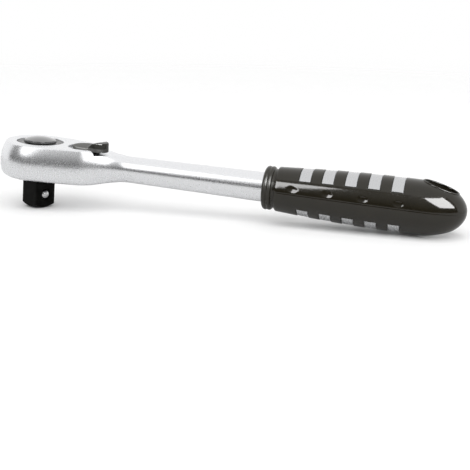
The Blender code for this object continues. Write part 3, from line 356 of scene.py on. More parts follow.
def softbox(name, azimuth, elevation, width, height, radiance, for_matt=False):
    """A rectangular lamp that spans two angles as the tool sees it; power is radiance times area times pi."""
    back = heading(azimuth, elevation)
    level = np.cross([0, 0, 1], back)
    level /= np.linalg.norm(level)
    upright = np.cross(back, level)
    lamp = bpy.data.lights.new(name, "AREA")
    lamp.shape = "RECTANGLE"
    lamp.size = 2 * SOFTBOX_DISTANCE * math.tan(math.radians(width / 2))
    lamp.size_y = 2 * SOFTBOX_DISTANCE * math.tan(math.radians(height / 2))
    lamp.energy = radiance * lamp.size * lamp.size_y * math.pi
    made = bpy.data.objects.new(name, lamp)
    bpy.context.scene.collection.objects.link(made)
    stand = np.eye(4)
    stand[:3, 0], stand[:3, 1], stand[:3, 2] = level, upright, back
    stand[:3, 3] = MIDDLE + back * SOFTBOX_DISTANCE
    made.matrix_world = Matrix(stand.tolist())
    made.visible_diffuse, made.visible_glossy = for_matt, not for_matt
    print(name, round(lamp.size, 2), "by", round(lamp.size_y, 2), "m")
    return made


softbox("broad_lamp", 12.0, 56.0, 60.0, 44.0, KEY_LIGHT, for_matt=True)
metal_lamps = [softbox("metal_softbox_left", -33.0, 37.0, 24.0, 34.0, 1.9),
               softbox("metal_softbox_right", 43.5, 40.0, 28.0, 42.0, 1.9)]

# %% [markdown]
# The highlights on the black pieces have slanting edges, which no rectangle gives. So the lamps for them are sheets
# of light, each spanned between the four headings that the corners of a highlight mirror. A sheet glows and is
# clear at the same time: it hides nothing that stands behind it.

# %% Sheets of light for the black pieces
SHEET_STEPS = np.linspace(0, 1, 9)


def only_mirrored(item):
    """Let an object show in reflections alone."""
    item.visible_camera = item.visible_diffuse = item.visible_shadow = item.visible_transmission = False


def light_sheet(name, low_left, low_right, high_right, high_left, radiance):
    """Headings mixed between four corners: along the low and the high edge first, then upwards."""
    across, upwards = SHEET_STEPS[None, :, None], SHEET_STEPS[:, None, None]
    corners = np.array([low_left, low_right, high_right, high_left])
    low = corners[0] + (corners[1] - corners[0]) * across
    high = corners[3] + (corners[2] - corners[3]) * across
    headings = low + (high - low) * upwards
    points = MIDDLE + SOFTBOX_DISTANCE * heading(headings[..., 0], headings[..., 1])
    sheet = piece(name, points, grid_faces(len(SHEET_STEPS), len(SHEET_STEPS)))
    glowing = bpy.data.materials.new(name)
    glowing.use_nodes = True
    nodes, links = glowing.node_tree.nodes, glowing.node_tree.links
    nodes.clear()
    light = nodes.new("ShaderNodeEmission")
    light.inputs["Strength"].default_value = radiance
    both = nodes.new("ShaderNodeAddShader")
    links.new(light.outputs[0], both.inputs[0])
    links.new(nodes.new("ShaderNodeBsdfTransparent").outputs[0], both.inputs[1])
    links.new(both.outputs[0], nodes.new("ShaderNodeOutputMaterial").inputs["Surface"])
    sheet.data.materials.append(glowing)
    only_mirrored(sheet)
    print(name, "from", low_left, "to", high_right)
    return sheet


grip_lamps = [light_sheet("light_sheet_left", (-42.0, 15.0), (-20.0, 15.0), (-15.3, 46.0), (-42.0, 46.0), 11.0),
              light_sheet("light_sheet_right", (32.0, 19.6), (72.5, 19.1), (62.0, 58.0), (0.0, 52.5), 17.5)]
lever_lamps = [light_sheet("light_sheet_lever", (-85.0, 20.0), (-25.0, 20.0), (-25.0, 46.0), (-85.0, 46.0), 45.0),
               light_sheet("light_sheet_front", (-15.0, 15.0), (45.0, 15.0), (45.0, 60.0), (-15.0, 60.0), 40.0)]

# %% [markdown]
# Behind the lamps a dark wall stands for the unlit room at the camera's back. It is darkest near the floor, and it
# too shows in reflections alone.

# %% Dark wall
WALL_LOW, WALL_HIGH = -2.0, 56.0
WALL_DARK, WALL_PALE = 0.07, 0.46
wall_azimuth, wall_elevation = np.meshgrid(np.linspace(-80, 80, 33), np.linspace(WALL_LOW, WALL_HIGH, 10), indexing="ij")
wall = piece("dark_wall", MIDDLE + WALL_DISTANCE * heading(wall_azimuth, wall_elevation), grid_faces(*wall_azimuth.shape))
wall_finish = bpy.data.materials.new("dark_wall")
wall_finish.use_nodes = True
nodes, links = wall_finish.node_tree.nodes, wall_finish.node_tree.links
nodes.clear()
wall_height = nodes.new("ShaderNodeSeparateXYZ")
links.new(nodes.new("ShaderNodeTexCoord").outputs["Object"], wall_height.inputs[0])
wall_level = nodes.new("ShaderNodeMapRange")
wall_level.inputs["From Min"].default_value, wall_level.inputs["From Max"].default_value = 0.35, 2.6
wall_level.inputs["To Min"].default_value, wall_level.inputs["To Max"].default_value = WALL_DARK, WALL_PALE
links.new(wall_height.outputs["Z"], wall_level.inputs["Value"])
wall_light = nodes.new("ShaderNodeEmission")
links.new(wall_level.outputs[0], wall_light.inputs["Strength"])
links.new(wall_light.outputs[0], nodes.new("ShaderNodeOutputMaterial").inputs["Surface"])
wall.data.materials.append(wall_finish)
only_mirrored(wall)
print("wall from", WALL_LOW, "to", WALL_HIGH, "degrees up")

# %% [markdown]
# Every finish is a Principled shader with its detail from noise on Object coordinates, which are metres
# here, so a noise scale of 2000 has a grain of half a millimetre. These helpers make the shader and the
# usual links: noise into roughness, and noise into a bump.

# %% Helpers for finishes


class Finish:
    """A material in the making: its shader, its nodes and short ways to wire them."""

    def __init__(self, name, colour, metallic, roughness, **sockets):
        self.material = bpy.data.materials.new(name)
        self.material.use_nodes = True
        self.nodes = self.material.node_tree.nodes
        self.links = self.material.node_tree.links
        self.shader = self.nodes["Principled BSDF"]
        self.shader.inputs["Base Color"].default_value = (*colour, 1)
        self.shader.inputs["Metallic"].default_value = metallic
        self.shader.inputs["Roughness"].default_value = roughness
        for socket, value in sockets.items():
            self.shader.inputs[socket.replace("_", " ")].default_value = value
        self.where = self.nodes.new("ShaderNodeTexCoord").outputs["Object"]
        self.material.diffuse_color = (*colour, 1)

    def noise(self, scale, detail=3.0, stretch=(1, 1, 1)):
        """Noise of a scale, drawn out along the axes by a stretch."""
        mapping = self.nodes.new("ShaderNodeMapping")
        mapping.inputs["Scale"].default_value = stretch
        self.links.new(self.where, mapping.inputs["Vector"])
        made = self.nodes.new("ShaderNodeTexNoise")
        made.inputs["Scale"].default_value = scale
        made.inputs["Detail"].default_value = detail
        self.links.new(mapping.outputs[0], made.inputs["Vector"])
        return made.outputs["Fac"]

    def spread(self, value, low, high, start=0.3, end=0.7):
        """A value between start and end, mapped to a range."""
        made = self.nodes.new("ShaderNodeMapRange")
        for socket, number in (("From Min", start), ("From Max", end), ("To Min", low), ("To Max", high)):
            made.inputs[socket].default_value = number
        self.links.new(value, made.inputs["Value"])
        return made.outputs["Result"]

    def blend(self, share, first, second):
        """First colour where the share is nought, second where it is one."""
        made = self.nodes.new("ShaderNodeMix")
        made.data_type = "RGBA"
        made.inputs[6].default_value = (*first, 1)
        made.inputs[7].default_value = (*second, 1)
        self.links.new(share, made.inputs[0])
        return made.outputs[2]

    def times(self, first, second):
        """Two values multiplied."""
        made = self.nodes.new("ShaderNodeMath")
        made.operation = "MULTIPLY"
        self.links.new(first, made.inputs[0])
        self.links.new(second, made.inputs[1])
        return made.outputs[0]

    def bump(self, height, strength, depth, share=None):
        """A bump of a depth in metres, faded by a share where one is given."""
        made = self.nodes.new("ShaderNodeBump")
        made.inputs["Strength"].default_value = strength
        made.inputs["Distance"].default_value = depth
        self.links.new(height, made.inputs["Height"])
        if share is not None:
            self.links.new(share, made.inputs["Strength"])
        self.links.new(made.outputs[0], self.shader.inputs["Normal"])

    def place(self, axis):
        """One of the point's own coordinates."""
        made = self.nodes.new("ShaderNodeSeparateXYZ")
        self.links.new(self.where, made.inputs[0])
        return made.outputs[axis]

    def to(self, socket, value):
        self.links.new(value, self.shader.inputs[socket])


print("finish helpers ready")

# %% [markdown]
# The forging is chromed all over, but not alike: the head is blasted first, which leaves a fine sparkling
# grain, and the shank is polished. One finish does both. The grain fades along X over the neck, and the
# roughness falls with it.

# %% Satin chrome
HEAD_ROUGH, SHANK_ROUGH = 0.28, 0.26
chrome = Finish("satin_chrome", (0.83, 0.835, 0.85), 1.0, 0.2)
blasted = chrome.spread(chrome.place("X"), 1.0, 0.0, 36 * MM, 62 * MM)
rough = chrome.nodes.new("ShaderNodeMapRange")
rough.inputs["To Min"].default_value = SHANK_ROUGH
rough.inputs["To Max"].default_value = HEAD_ROUGH
chrome.links.new(blasted, rough.inputs["Value"])
speckle = chrome.spread(chrome.noise(1700, 2.0), 0.86, 1.14)
chrome.to("Roughness", chrome.times(rough.outputs[0], speckle))
grain = chrome.spread(chrome.noise(1900, 4.0), 0.0, 1.0)
strength = chrome.nodes.new("ShaderNodeMapRange")
strength.inputs["To Min"].default_value = 0.015
strength.inputs["To Max"].default_value = 0.08
chrome.links.new(blasted, strength.inputs["Value"])
chrome.bump(grain, 0.2, 0.05 * MM, strength.outputs[0])
print(chrome.material.name)

# %% [markdown]
# The smaller pieces have plainer finishes. Blued steel on the drive is a dark skin with a faint cloud in it,
# the collar is glossy black, the button has a black lacquer that mirrors the studio, the ball is polished, the
# cover is turned steel and the lever is black enamel, matt on its plate and glossy on the tab. The grip is a glossy black plastic with a warm cast and a
# faint ripple from its mould, duller on its bead.

# %% Blued, polished and turned steel
blued = Finish("blued_steel", (0.005, 0.005, 0.004), 0.0, 0.36, IOR=1.13)
blued.to("Base Color", blued.blend(blued.spread(blued.noise(420), 0, 1), (0.003, 0.003, 0.0025), (0.007, 0.007, 0.006)))
blued.to("Roughness", blued.spread(blued.noise(900), 0.30, 0.44))
blued.bump(blued.noise(2600), 0.10, 0.03 * MM)

black_gloss = Finish("black_gloss", (0.006, 0.006, 0.006), 0.0, 0.12, IOR=1.38)
black_gloss.to("Roughness", black_gloss.spread(black_gloss.noise(900), 0.12, 0.22))
black_gloss.bump(black_gloss.noise(1500), 0.05, 0.02 * MM)

lacquer = Finish("black_lacquer", (0.005, 0.005, 0.005), 0.0, 0.14, IOR=1.9, Coat_Weight=1.0, Coat_IOR=1.8, Coat_Roughness=0.06)
lacquer.to("Roughness", lacquer.spread(lacquer.noise(700), 0.11, 0.19))
lacquer.bump(lacquer.noise(1100), 0.03, 0.02 * MM)

polished = Finish("polished_steel", (0.66, 0.66, 0.66), 1.0, 0.11)
polished.to("Roughness", polished.spread(polished.noise(700), 0.08, 0.15))
polished.bump(polished.noise(1200), 0.03, 0.02 * MM)

turned_steel = Finish("turned_steel", (0.42, 0.42, 0.43), 1.0, 0.34)
turned_steel.to("Roughness", turned_steel.spread(turned_steel.noise(1500), 0.28, 0.42))
turned_steel.bump(turned_steel.noise(2400), 0.10, 0.03 * MM)

spring_wire = Finish("spring_wire", (0.30, 0.31, 0.33), 1.0, 0.38)
spring_wire.to("Roughness", spring_wire.spread(spring_wire.noise(1800), 0.30, 0.46))
spring_wire.bump(spring_wire.noise(3000), 0.08, 0.02 * MM)
print(blued.material.name, polished.material.name, turned_steel.material.name, spring_wire.material.name)

# %% Enamel, plastic and plated finishes
enamel = Finish("lever_enamel", (0.020, 0.019, 0.015), 0.0, 0.24, IOR=1.4)
worn = enamel.spread(enamel.place("Z"), 0.58, 0.17, 37.1 * MM, 37.6 * MM)
enamel.to("Roughness", enamel.times(worn, enamel.spread(enamel.noise(800), 0.85, 1.15)))
enamel.bump(enamel.noise(1300), 0.10, 0.04 * MM)

plastic = Finish("black_plastic", (0.0165, 0.0135, 0.0055), 0.0, 0.1, IOR=1.5)
plastic.to("Base Color", plastic.blend(plastic.spread(plastic.noise(160), 0, 1), (0.0115, 0.0093, 0.0045), (0.0150, 0.0122, 0.0064)))
dull_bead = plastic.spread(plastic.place("X"), 3.4, 1.0, GRIP_START + 5.2 * MM, GRIP_START + 6.4 * MM)
plastic.to("Roughness", plastic.times(plastic.spread(plastic.noise(1100), 0.07, 0.12), dull_bead))
plastic.bump(plastic.noise(520, 2.0), 0.035, 0.05 * MM)

plated = Finish("plated_windows", (0.60, 0.605, 0.615), 1.0, 0.27)
plated.to("Roughness", plated.spread(plated.noise(900, 3.0, (1, 0.2, 0.2)), 0.21, 0.34))
plated.bump(plated.noise(1600, 2.0, (1, 0.15, 0.15)), 0.03, 0.03 * MM)
print(enamel.material.name, plastic.material.name, plated.material.name)

# %% [markdown]
# The head, neck, shank and tang are one forging. Its cross-section is worked out at each distance from the drive
# axis. In the head it is a flat top, a rounded shoulder and a flank that leans in to let the forging out of its
# die. The parting line is at mid height, and below it the flank leans less and its edge is rounder. Along the neck it turns into an oval and then
# a round bar. Round the end of the head, the same section is swept about the drive axis.

# %% Cross-section of the forging
NECK_LENGTH = 50.0 * MM
FLANK_FALL, FLANK_TURN = 0.235, 9.0 * MM
FLANK_END, SHANK_START = 27.0 * MM, 52.0 * MM
HEAD_RADIUS = 21.0 * MM
SLOPE_START, SLOPE_END = 33.0 * MM, 53.0 * MM
SHANK_RADII = (7.05 * MM, 7.85 * MM)
LEAN_UP, LEAN_DOWN = np.radians([4.6, 27.0]), np.radians([-4.6, 12.0])
SHOULDER, UNDER_ROUND = 1.3 * MM, 4.2 * MM
FLAT_STEPS, ROUND_STEPS = np.linspace(0, 1, 7)[:-1], np.linspace(0, 1, 15)
FLANK_STEPS = np.array([0, 0.12, 0.26, 0.4, 0.54, 0.68, 0.8, 0.9, 0.97, 0.99])[1:]


def ease(share):
    """One down to nought along half a cosine."""
    return 0.5 * (1 + np.cos(np.pi * np.clip(share, 0, 1)))


def forged_quarter(width, height, leans, radius):
    """From the middle of the flat out to the parting line: flat, circle, then a flank whose lean eases off."""
    steep, gentle = leans[1], leans[0]
    round_end = height - radius * (1 - math.sin(steep))
    drift = (math.tan(gentle) + math.tan(steep)) / 2 * round_end
    middle = width - drift - radius * math.cos(steep)
    lean = np.pi / 2 + (steep - np.pi / 2) * ROUND_STEPS[None, :]
    left = round_end * (1 - FLANK_STEPS[None, :])
    inset = math.tan(gentle) * left + (math.tan(steep) - math.tan(gentle)) * left ** 2 / (2 * round_end)
    y = [middle * FLAT_STEPS[None, :], middle + radius * np.cos(lean), width - inset]
    z = [height + 0 * y[0], height - radius + radius * np.sin(lean), left]
    return np.concatenate(y, axis=1), np.concatenate(z, axis=1)


def bar_quarter(width, height):
    """The same number of points on a quarter of an ellipse."""
    share = np.concatenate([0.3 * FLAT_STEPS, 0.3 + 0.3 * ROUND_STEPS, 0.6 + 0.4 * FLANK_STEPS])[None, :]
    return width * np.sin(share * np.pi / 2), height * np.cos(share * np.pi / 2)


def half_section(width, height, bar):
    """Top centre line to bottom centre line, blended from the forged shape to the round bar by a share."""
    width, height, bar = (np.atleast_1d(v)[:, None] for v in np.broadcast_arrays(width, height, bar))
    top = forged_quarter(width, height, LEAN_UP, SHOULDER)
    bottom = forged_quarter(width, height, LEAN_DOWN, UNDER_ROUND)
    oval = bar_quarter(width, height)
    upper = [forged + (round_bar - forged) * bar for forged, round_bar in zip(top, oval)]
    lower = [forged + (round_bar - forged) * bar for forged, round_bar in zip(bottom, oval)]
    y = np.concatenate([upper[0], width, lower[0][:, ::-1]], axis=1)
    z = np.concatenate([upper[1], 0 * width, -lower[1][:, ::-1]], axis=1)
    return y, z


def forging_section(x):
    """The pear's sides draw in along a hyperbola, then width and height ease from the head's to the shank's."""
    flank = HEAD_RADIUS - FLANK_FALL * (np.hypot(np.clip(x, 0, None), FLANK_TURN) - FLANK_TURN)
    broad = ease((x - FLANK_END) / (SHANK_START - FLANK_END))
    tall = ease((x - SLOPE_START) / (SLOPE_END - SLOPE_START))
    share = np.clip((x - NECK_LENGTH) / (GRIP_START - NECK_LENGTH), 0, 1)
    radius = SHANK_RADII[0] + (SHANK_RADII[1] - SHANK_RADII[0]) * share
    width = radius + (flank - radius) * broad
    height = radius + ((HEAD_TOP - HEAD_BOTTOM) / 2 - radius) * tall
    return half_section(width, height, 1 - ease((x - 28 * MM) / (20 * MM)))


check_y, check_z = forging_section(np.array([0.0, 0.04, 0.1]))
print("half widths in mm", np.round(1000 * check_y.max(axis=1), 2))

# %% Forging, before it is machined
CORE_START, CORE_END = 138.0 * MM, 205.0 * MM
stations = np.concatenate([np.linspace(0, 60 * MM, 76), np.linspace(60 * MM, CORE_START - FIT, 24)[1:]])
near_y, near_z = forging_section(stations)
tang_y, tang_z = half_section(6.6 * MM, 5.0 * MM, 0.35)
tang_x = np.array([CORE_START, CORE_END - 2.0 * MM])
side_x = np.concatenate([stations, tang_x])
side_y = np.concatenate([near_y, np.repeat(tang_y, 2, axis=0)])
side_z = np.concatenate([near_z, np.repeat(tang_z, 2, axis=0)])
left = np.stack([np.broadcast_to(side_x[:, None], side_y.shape), side_y, side_z], axis=-1)
sweep = np.linspace(np.pi / 2, 3 * np.pi / 2, 97)[1:-1, None]
end = np.stack([near_y[:1] * np.cos(sweep), near_y[:1] * np.sin(sweep), near_z[:1] + 0 * sweep], axis=-1)
skin = np.concatenate([left[::-1], end, left * (1, -1, 1)])
skin[..., 2] += AXIS_HEIGHT
rows, columns = skin.shape[:2]
cap = list(range(columns)) + list(range(rows * columns - 1, (rows - 1) * columns - 1, -1))
forging = piece("forged_head_and_shank", skin, [*grid_faces(rows, columns), cap])
print("forging skin", rows, "by", columns)

# %% [markdown]
# The head is then machined, as the real one is: bored from below for the gear and its cover, opened at the top
# for the button, milled behind for the pawl, drilled for the pin and the lever's stem, and cut down where the lever
# lies. Each cutter is its own shape. The lip of the opening and the edge of the recess are eased a little,
# because a sharp edge never shows the thin bright line that a real one does.

# %% Bores and the opening for the button
SEAT = 15.3 * MM
OPENING = 12.6 * MM
LIP = 0.5 * MM
below, above = HEAD_BOTTOM - 2 * MM, HEAD_TOP + 4 * MM
bore_cutter = turned("bore", [
    (0, CEILING), (14.5 * MM, CEILING), (14.5 * MM, 21.0 * MM), (SEAT, 21.0 * MM), (SEAT, 19.0 * MM),
    (16.2 * MM, 19.0 * MM), (16.2 * MM, 17.5 * MM), (SEAT, 17.5 * MM), (SEAT + 0.3 * MM, HEAD_BOTTOM),
    (SEAT + 0.3 * MM, below), (0, below)])
lip_arc = arc((OPENING + LIP, HEAD_TOP - LIP), LIP, np.pi, np.pi / 2, 6)
opening_cutter = turned("opening", [(0, CEILING - 2 * MM), (OPENING, CEILING - 2 * MM), *lip_arc,
                                    (OPENING + LIP, above), (0, above)])
pin_cutter = turned("pin_hole", [(0, 33.2 * MM), (1.5 * MM, 33.2 * MM), (1.5 * MM, below), (0, below)], 32,
                    centre=(PIN_X, 0, 0))
stem_cutter = turned("stem_hole", [
    (0, above), (4.3 * MM, above), (4.3 * MM, 33.35 * MM), (5.0 * MM, 33.35 * MM), (5.0 * MM, 32.05 * MM),
    (4.3 * MM, 32.05 * MM), (4.3 * MM, 19.2 * MM), (0, 19.2 * MM)], 54, centre=(LEVER_X, 0, 0))
pocket_half = np.array([
    (0, 0), (4.6, 14.0), (16.2, 14.0), (18.6, 9.8), (21.9, 5.6), (27.0, 5.0), (31.4, 2.0), (31.4, 0)]) * MM
pocket_cutter = slab("pocket", lambda inset: mirrored(pocket_half), [(0, 21.6 * MM), (0, 31.6 * MM)])
print("bore, opening, pin hole, stem hole and pocket")

# %% Recess for the lever, and the cuts
RECESS_FLOOR = 33.8 * MM
RECESS_WALL = 9.9 * MM
RECESS_EASE = 0.35 * MM


def recess_outline(inset):
    """Round in front of the lever's disc, then flaring out behind it past both sides of the neck."""
    wall = RECESS_WALL - inset
    tail = SLOPE_END + 4 * MM - LEVER_X
    half = np.concatenate([[(tail, 0), (tail, 2 * wall)], arc((0, 0), wall, math.radians(65), np.pi, 40)])
    return mirrored(half) + (LEVER_X, 0)


ease_levels = [(-r, z) for r, z in zip(RECESS_EASE * np.linspace(0, 1, 4) ** 2, HEAD_TOP + RECESS_EASE * np.linspace(-1, 0, 4))]
recess_cutter = slab("recess", recess_outline, [(0, RECESS_FLOOR), *ease_levels, (-RECESS_EASE, above)])
carve(forging, recess_cutter, bore_cutter, opening_cutter, pocket_cutter, pin_cutter, stem_cutter)
dress(forging, "handle", "head_and_shank", chrome.material)

# %% [markdown]
# Under the head, a round plate closes the bore, and a sprung ring with two eyes holds it in. Both are
# plain: the plate is a turned washer with eased edges, and the ring is an open outline given its thickness.

# %% Cover plate and its ring
cover = turned("head_cover_plate", [
    (9.7, 20.7), (15.0, 20.7), (15.0, 19.4), (14.86, 19.14), (14.6, 19.0), (9.95, 19.0), (9.77, 19.07), (9.7, 19.25)],
    closed=True)
cover.data.transform(Matrix.Scale(MM, 4))
dress(cover, "handle", "cover_plate", turned_steel.material)
RING_OUT, RING_IN, RING_EYE = 15.9 * MM, 13.9 * MM, 11.65 * MM
gap, eye_end = math.radians(20), math.radians(32)


def ring_outline(inset):
    """Once round outside, in at one eye, back round inside and out at the other eye."""
    full = 2 * np.pi
    return np.concatenate([
        arc((0, 0), RING_OUT - inset, gap, full - gap, 100), arc((0, 0), RING_EYE + inset, full - gap, full - eye_end, 8),
        arc((0, 0), RING_IN + inset, full - eye_end - 0.02, eye_end + 0.02, 90), arc((0, 0), RING_EYE + inset, eye_end, gap, 8)])


retainer = slab("cover_ring", ring_outline, [(0.1 * MM, 17.8 * MM), (0, 17.9 * MM), (0, 18.6 * MM), (0.1 * MM, 18.7 * MM)])
eye_middle = (RING_EYE + RING_IN + 1 * MM) / 2
eye_holes = [turned(f"eye_{n}", [(0, 17 * MM), (0.7 * MM, 17 * MM), (0.7 * MM, 20 * MM), (0, 20 * MM)], 24,
                    centre=(eye_middle * math.cos(a), eye_middle * math.sin(a), 0))
             for n, a in enumerate((math.radians(26), math.radians(-26)))]
carve(retainer, *eye_holes)
dress(retainer, "handle", "cover_retaining_ring", spring_wire.material)

# %% [markdown]
# The drive is one piece: a square below, journals and a ratchet gear inside the head, bored through for the
# release rod. The square has rounded edges, and its end is turned to a cone, which leaves four curved corners.
# So the square is cut to a turned envelope. The gear's teeth are straight-sided, thirty-six of them.

# %% Square drive and gear
HALF_SQUARE = 6.35 * MM
EDGE_ROUND = 0.7 * MM


def square_outline(inset):
    """A square with rounded corners, turned to stand as the drive does."""
    corner = HALF_SQUARE - EDGE_ROUND
    quarters = [arc((corner * sx, corner * sy), EDGE_ROUND, start, start + np.pi / 2, 7)
                for sx, sy, start in ((1, 1, 0), (-1, 1, np.pi / 2), (-1, -1, np.pi), (1, -1, 1.5 * np.pi))]
    c, s = math.cos(DRIVE_TURN), math.sin(DRIVE_TURN)
    return np.concatenate(quarters) @ np.array([[c, s], [-s, c]])


def gear_outline(inset):
    """Root, tip, tip, root for each tooth, as (r cos a, r sin a)."""
    pitch = 2 * np.pi / 36
    half = np.radians([4.2, 0.8])
    angle = (np.arange(36)[:, None] + 0.5) * pitch + np.array([-half[0], -half[1], half[1], half[0]])
    radius = np.broadcast_to(np.array([12.9, 14.2, 14.2, 12.9]) * MM - inset, angle.shape)
    return np.stack([radius * np.cos(angle), radius * np.sin(angle)], axis=-1).reshape(-1, 2)


drive = slab("square_drive_and_gear", gear_outline, [(0, 21.7 * MM), (0, 31.3 * MM)])
journals = turned("journals", np.array([
    (0, 34.0), (12.3, 34.0), (12.3, 30.3), (9.4, 22.7), (9.4, 17.5), (0, 17.5)]) * MM, 96)
square = slab("square", square_outline, [(0, 0), (0, 21.7 * MM)])
corner_radius = HALF_SQUARE * math.sqrt(2)
end_cone = (corner_radius - 5.7 * MM) / (1.9 * MM)
envelope = turned("envelope", [(0, 0), (5.45 * MM, 0), (5.6 * MM, 0.06 * MM), (5.75 * MM, 0.18 * MM), (5.7 * MM + 4 * MM * end_cone, 4 * MM), (5.7 * MM + 4 * MM * end_cone, 25 * MM), (0, 25 * MM)], 192)
carve(square, envelope, operation="INTERSECT")
carve(drive, journals, square, operation="UNION")
release_bore = turned("release_bore", np.array([
    (0, 36), (10.4, 36), (10.4, 27.1), (7.05, 27.1), (7.05, 21.4), (2.0, 21.4), (2.0, 1.7), (0, 1.7)]) * MM, 96)
BALL_HEIGHT, BALL_RADIUS, BALL_OUT = 7.4 * MM, 2.7 * MM, 4.75 * MM
ball_hole = turned("ball_hole", [
    (0, 0.85 * MM), (3.0 * MM, 0.85 * MM), (3.0 * MM, HALF_SQUARE - 0.25 * MM), (3.25 * MM, HALF_SQUARE + 0.01 * MM),
    (3.25 * MM, 12 * MM), (0, 12 * MM)], 64, axis="x")
placed(ball_hole, DRIVE_TURN, (0, 0, BALL_HEIGHT))
carve(drive, release_bore, ball_hole)
dress(drive, "drive", "drive_gear", blued.material)

# %% [markdown]
# On top of the drive, a black collar keeps the button in, and the button is a shallow lacquered dome. In the side
# of the square sits the ball that holds a socket. All three are turned shapes with their edges eased.

# %% Collar, button and ball
collar = turned("button_collar_ring", np.array([
    (8.75, 35.6), (8.82, 35.74), (8.95, 35.8), (12.05, 35.8), (12.22, 35.74), (12.3, 35.58), (12.3, 34.3), (10.1, 34.3),
    (10.1, 32.4), (8.75, 32.4)]) * MM, closed=True)
dress(collar, "drive", "button_collar", black_gloss.material)
CROWN, BUTTON_RADIUS, BUTTON_ROUND = 1.4 * MM, 8.45 * MM, 0.5 * MM
BUTTON_SHOULDER = 37.4 * MM
crown_edge = BUTTON_RADIUS - BUTTON_ROUND
dome_radius = (crown_edge ** 2 + CROWN ** 2) / (2 * CROWN)
slope = math.asin(crown_edge / dome_radius)
crown = arc((0, BUTTON_SHOULDER + CROWN - dome_radius), dome_radius, np.pi / 2, np.pi / 2 - slope, 20)
roll = np.linspace(np.pi / 2 - slope, 0, 12)[1:, None]
shoulder_middle = crown[-1] - BUTTON_ROUND * np.array([math.sin(slope), math.cos(slope)])
reach = (BUTTON_RADIUS - shoulder_middle[0]) / BUTTON_ROUND
edge = shoulder_middle + BUTTON_ROUND * np.hstack([np.cos(roll) * reach, np.sin(roll)])
button = turned("push_button", [(0, crown[0][1]), *crown[1:], *edge, *(np.array([
    (8.45, 32.1), (10.1, 32.1), (10.1, 30.4), (2.0, 30.4), (2.0, 34.9), (0, 34.9)]) * MM)])
dress(button, "button", "release_button", lacquer.material)
ball = turned("socket_ball", [(0, -BALL_RADIUS), *arc((0, 0), BALL_RADIUS, -np.pi / 2, np.pi / 2, 33)[1:-1], (0, BALL_RADIUS)], 64)
placed(ball, 0.0, (BALL_OUT * math.cos(DRIVE_TURN), BALL_OUT * math.sin(DRIVE_TURN), BALL_HEIGHT))
dress(ball, "ball", "detent_ball", polished.material)

# %% [markdown]
# The reversing lever is a round plate in the recess, a thumb tab that stands over the neck, and a stem down into
# the head. Plate and stem are one turned profile. The tab is a loft: at each distance from the pivot its top rises,
# its underside clears the neck, and its upper edge is rounded, also round the end. It is built pointing along +X
# and then swung to the side where it rests.

# %% Plate and stem of the lever
PLATE_RADIUS, PLATE_TOP = 7.4 * MM, 37.0 * MM
plate_edge = [(PLATE_RADIUS - inset, height) for inset, height in rounded_edge(0.5 * MM, PLATE_TOP, 7)][::-1]
lever = turned("reversing_lever", [(0, PLATE_TOP), *plate_edge, *(np.array([
    (7.4, 34.25), (7.25, 34.1), (4.0, 34.1), (4.0, 33.35), (3.35, 33.35), (3.35, 32.05), (4.0, 32.05), (4.0, 19.8),
    (3.7, 19.5), (0, 19.5)]) * MM)], 96)
print("plate stands", round(1000 * (PLATE_TOP - HEAD_TOP), 2), "mm above the head")

# %% Thumb tab, and the lever joined
TAB_START, LEVER_REACH, TAB_HALF = 4.6 * MM, 14.9 * MM, 4.6 * MM
TAB_ROUND = 0.8 * MM
end_middle = LEVER_REACH - TAB_HALF
u = np.concatenate([np.linspace(TAB_START, end_middle, 33),
                    end_middle + TAB_HALF * np.sin(np.linspace(0, 0.985 * np.pi / 2, 25)[1:])])[:, None]
past_end = np.clip(u - end_middle, 0, None)
half_width = np.sqrt(TAB_HALF ** 2 - past_end ** 2)
top_line = np.interp(u, np.array([4.6, 8.1, 8.9, 11.2, 14.6, 15.6]) * MM, np.array([36.85, 39.55, 39.9, 40.7, 40.5, 40.1]) * MM)
under_line = np.interp(u, np.array([4.6, 7.4, 11.0, 15.6]) * MM, np.array([35.0, 35.0, 35.3, 35.6]) * MM)
v = half_width * np.sin(np.linspace(0, np.pi / 2, 33))
beyond = np.clip(np.hypot(v, past_end) - (TAB_HALF - TAB_ROUND), 0, TAB_ROUND)
roof = top_line - (TAB_ROUND - np.sqrt(TAB_ROUND ** 2 - beyond ** 2))
side_v = np.concatenate([v, half_width, half_width, half_width - 0.1 * MM, half_width - 0.35 * MM, 0 * half_width], axis=1)
mid_line = (roof[:, -1:] + under_line) / 2
side_z = np.concatenate([roof, mid_line, under_line + 0.35 * MM, under_line + 0.1 * MM, under_line, under_line], axis=1)
half_tab = np.stack([np.broadcast_to(u, side_v.shape), np.clip(side_v, 0, None), side_z], axis=-1)
ring = np.concatenate([half_tab, (half_tab * (1, -1, 1))[:, -2:0:-1]], axis=1)
n_u, n_ring = ring.shape[:2]
tab = piece("tab", ring, [*grid_faces(n_u, n_ring, wrap=True), range(n_ring), range((n_u - 1) * n_ring, n_u * n_ring)])
plunger_bore = turned("plunger_bore", [(0, -3.2 * MM), (1.7 * MM, -3.2 * MM), (1.7 * MM, 6 * MM), (0, 6 * MM)], 32, axis="x")
plunger_bore.data.transform(Matrix.Translation((0, 0, PLUNGER_HEIGHT)) @ Matrix.Rotation(np.pi, 4, "Z"))
carve(lever, tab, operation="UNION")
carve(lever, plunger_bore)
placed(lever, LEVER_TURN, (LEVER_X, 0, 0))
dress(lever, "lever", "reverse_lever", enamel.material)

# %% [markdown]
# Under the grip lies a bright core, and its raised lands fill the grip's windows. Both are grids over the distance
# along the handle and the angle round it. The lines of the grid crowd together at the windows' edges, so an edge is
# crisp where it should be, and everywhere else the grid stays open.

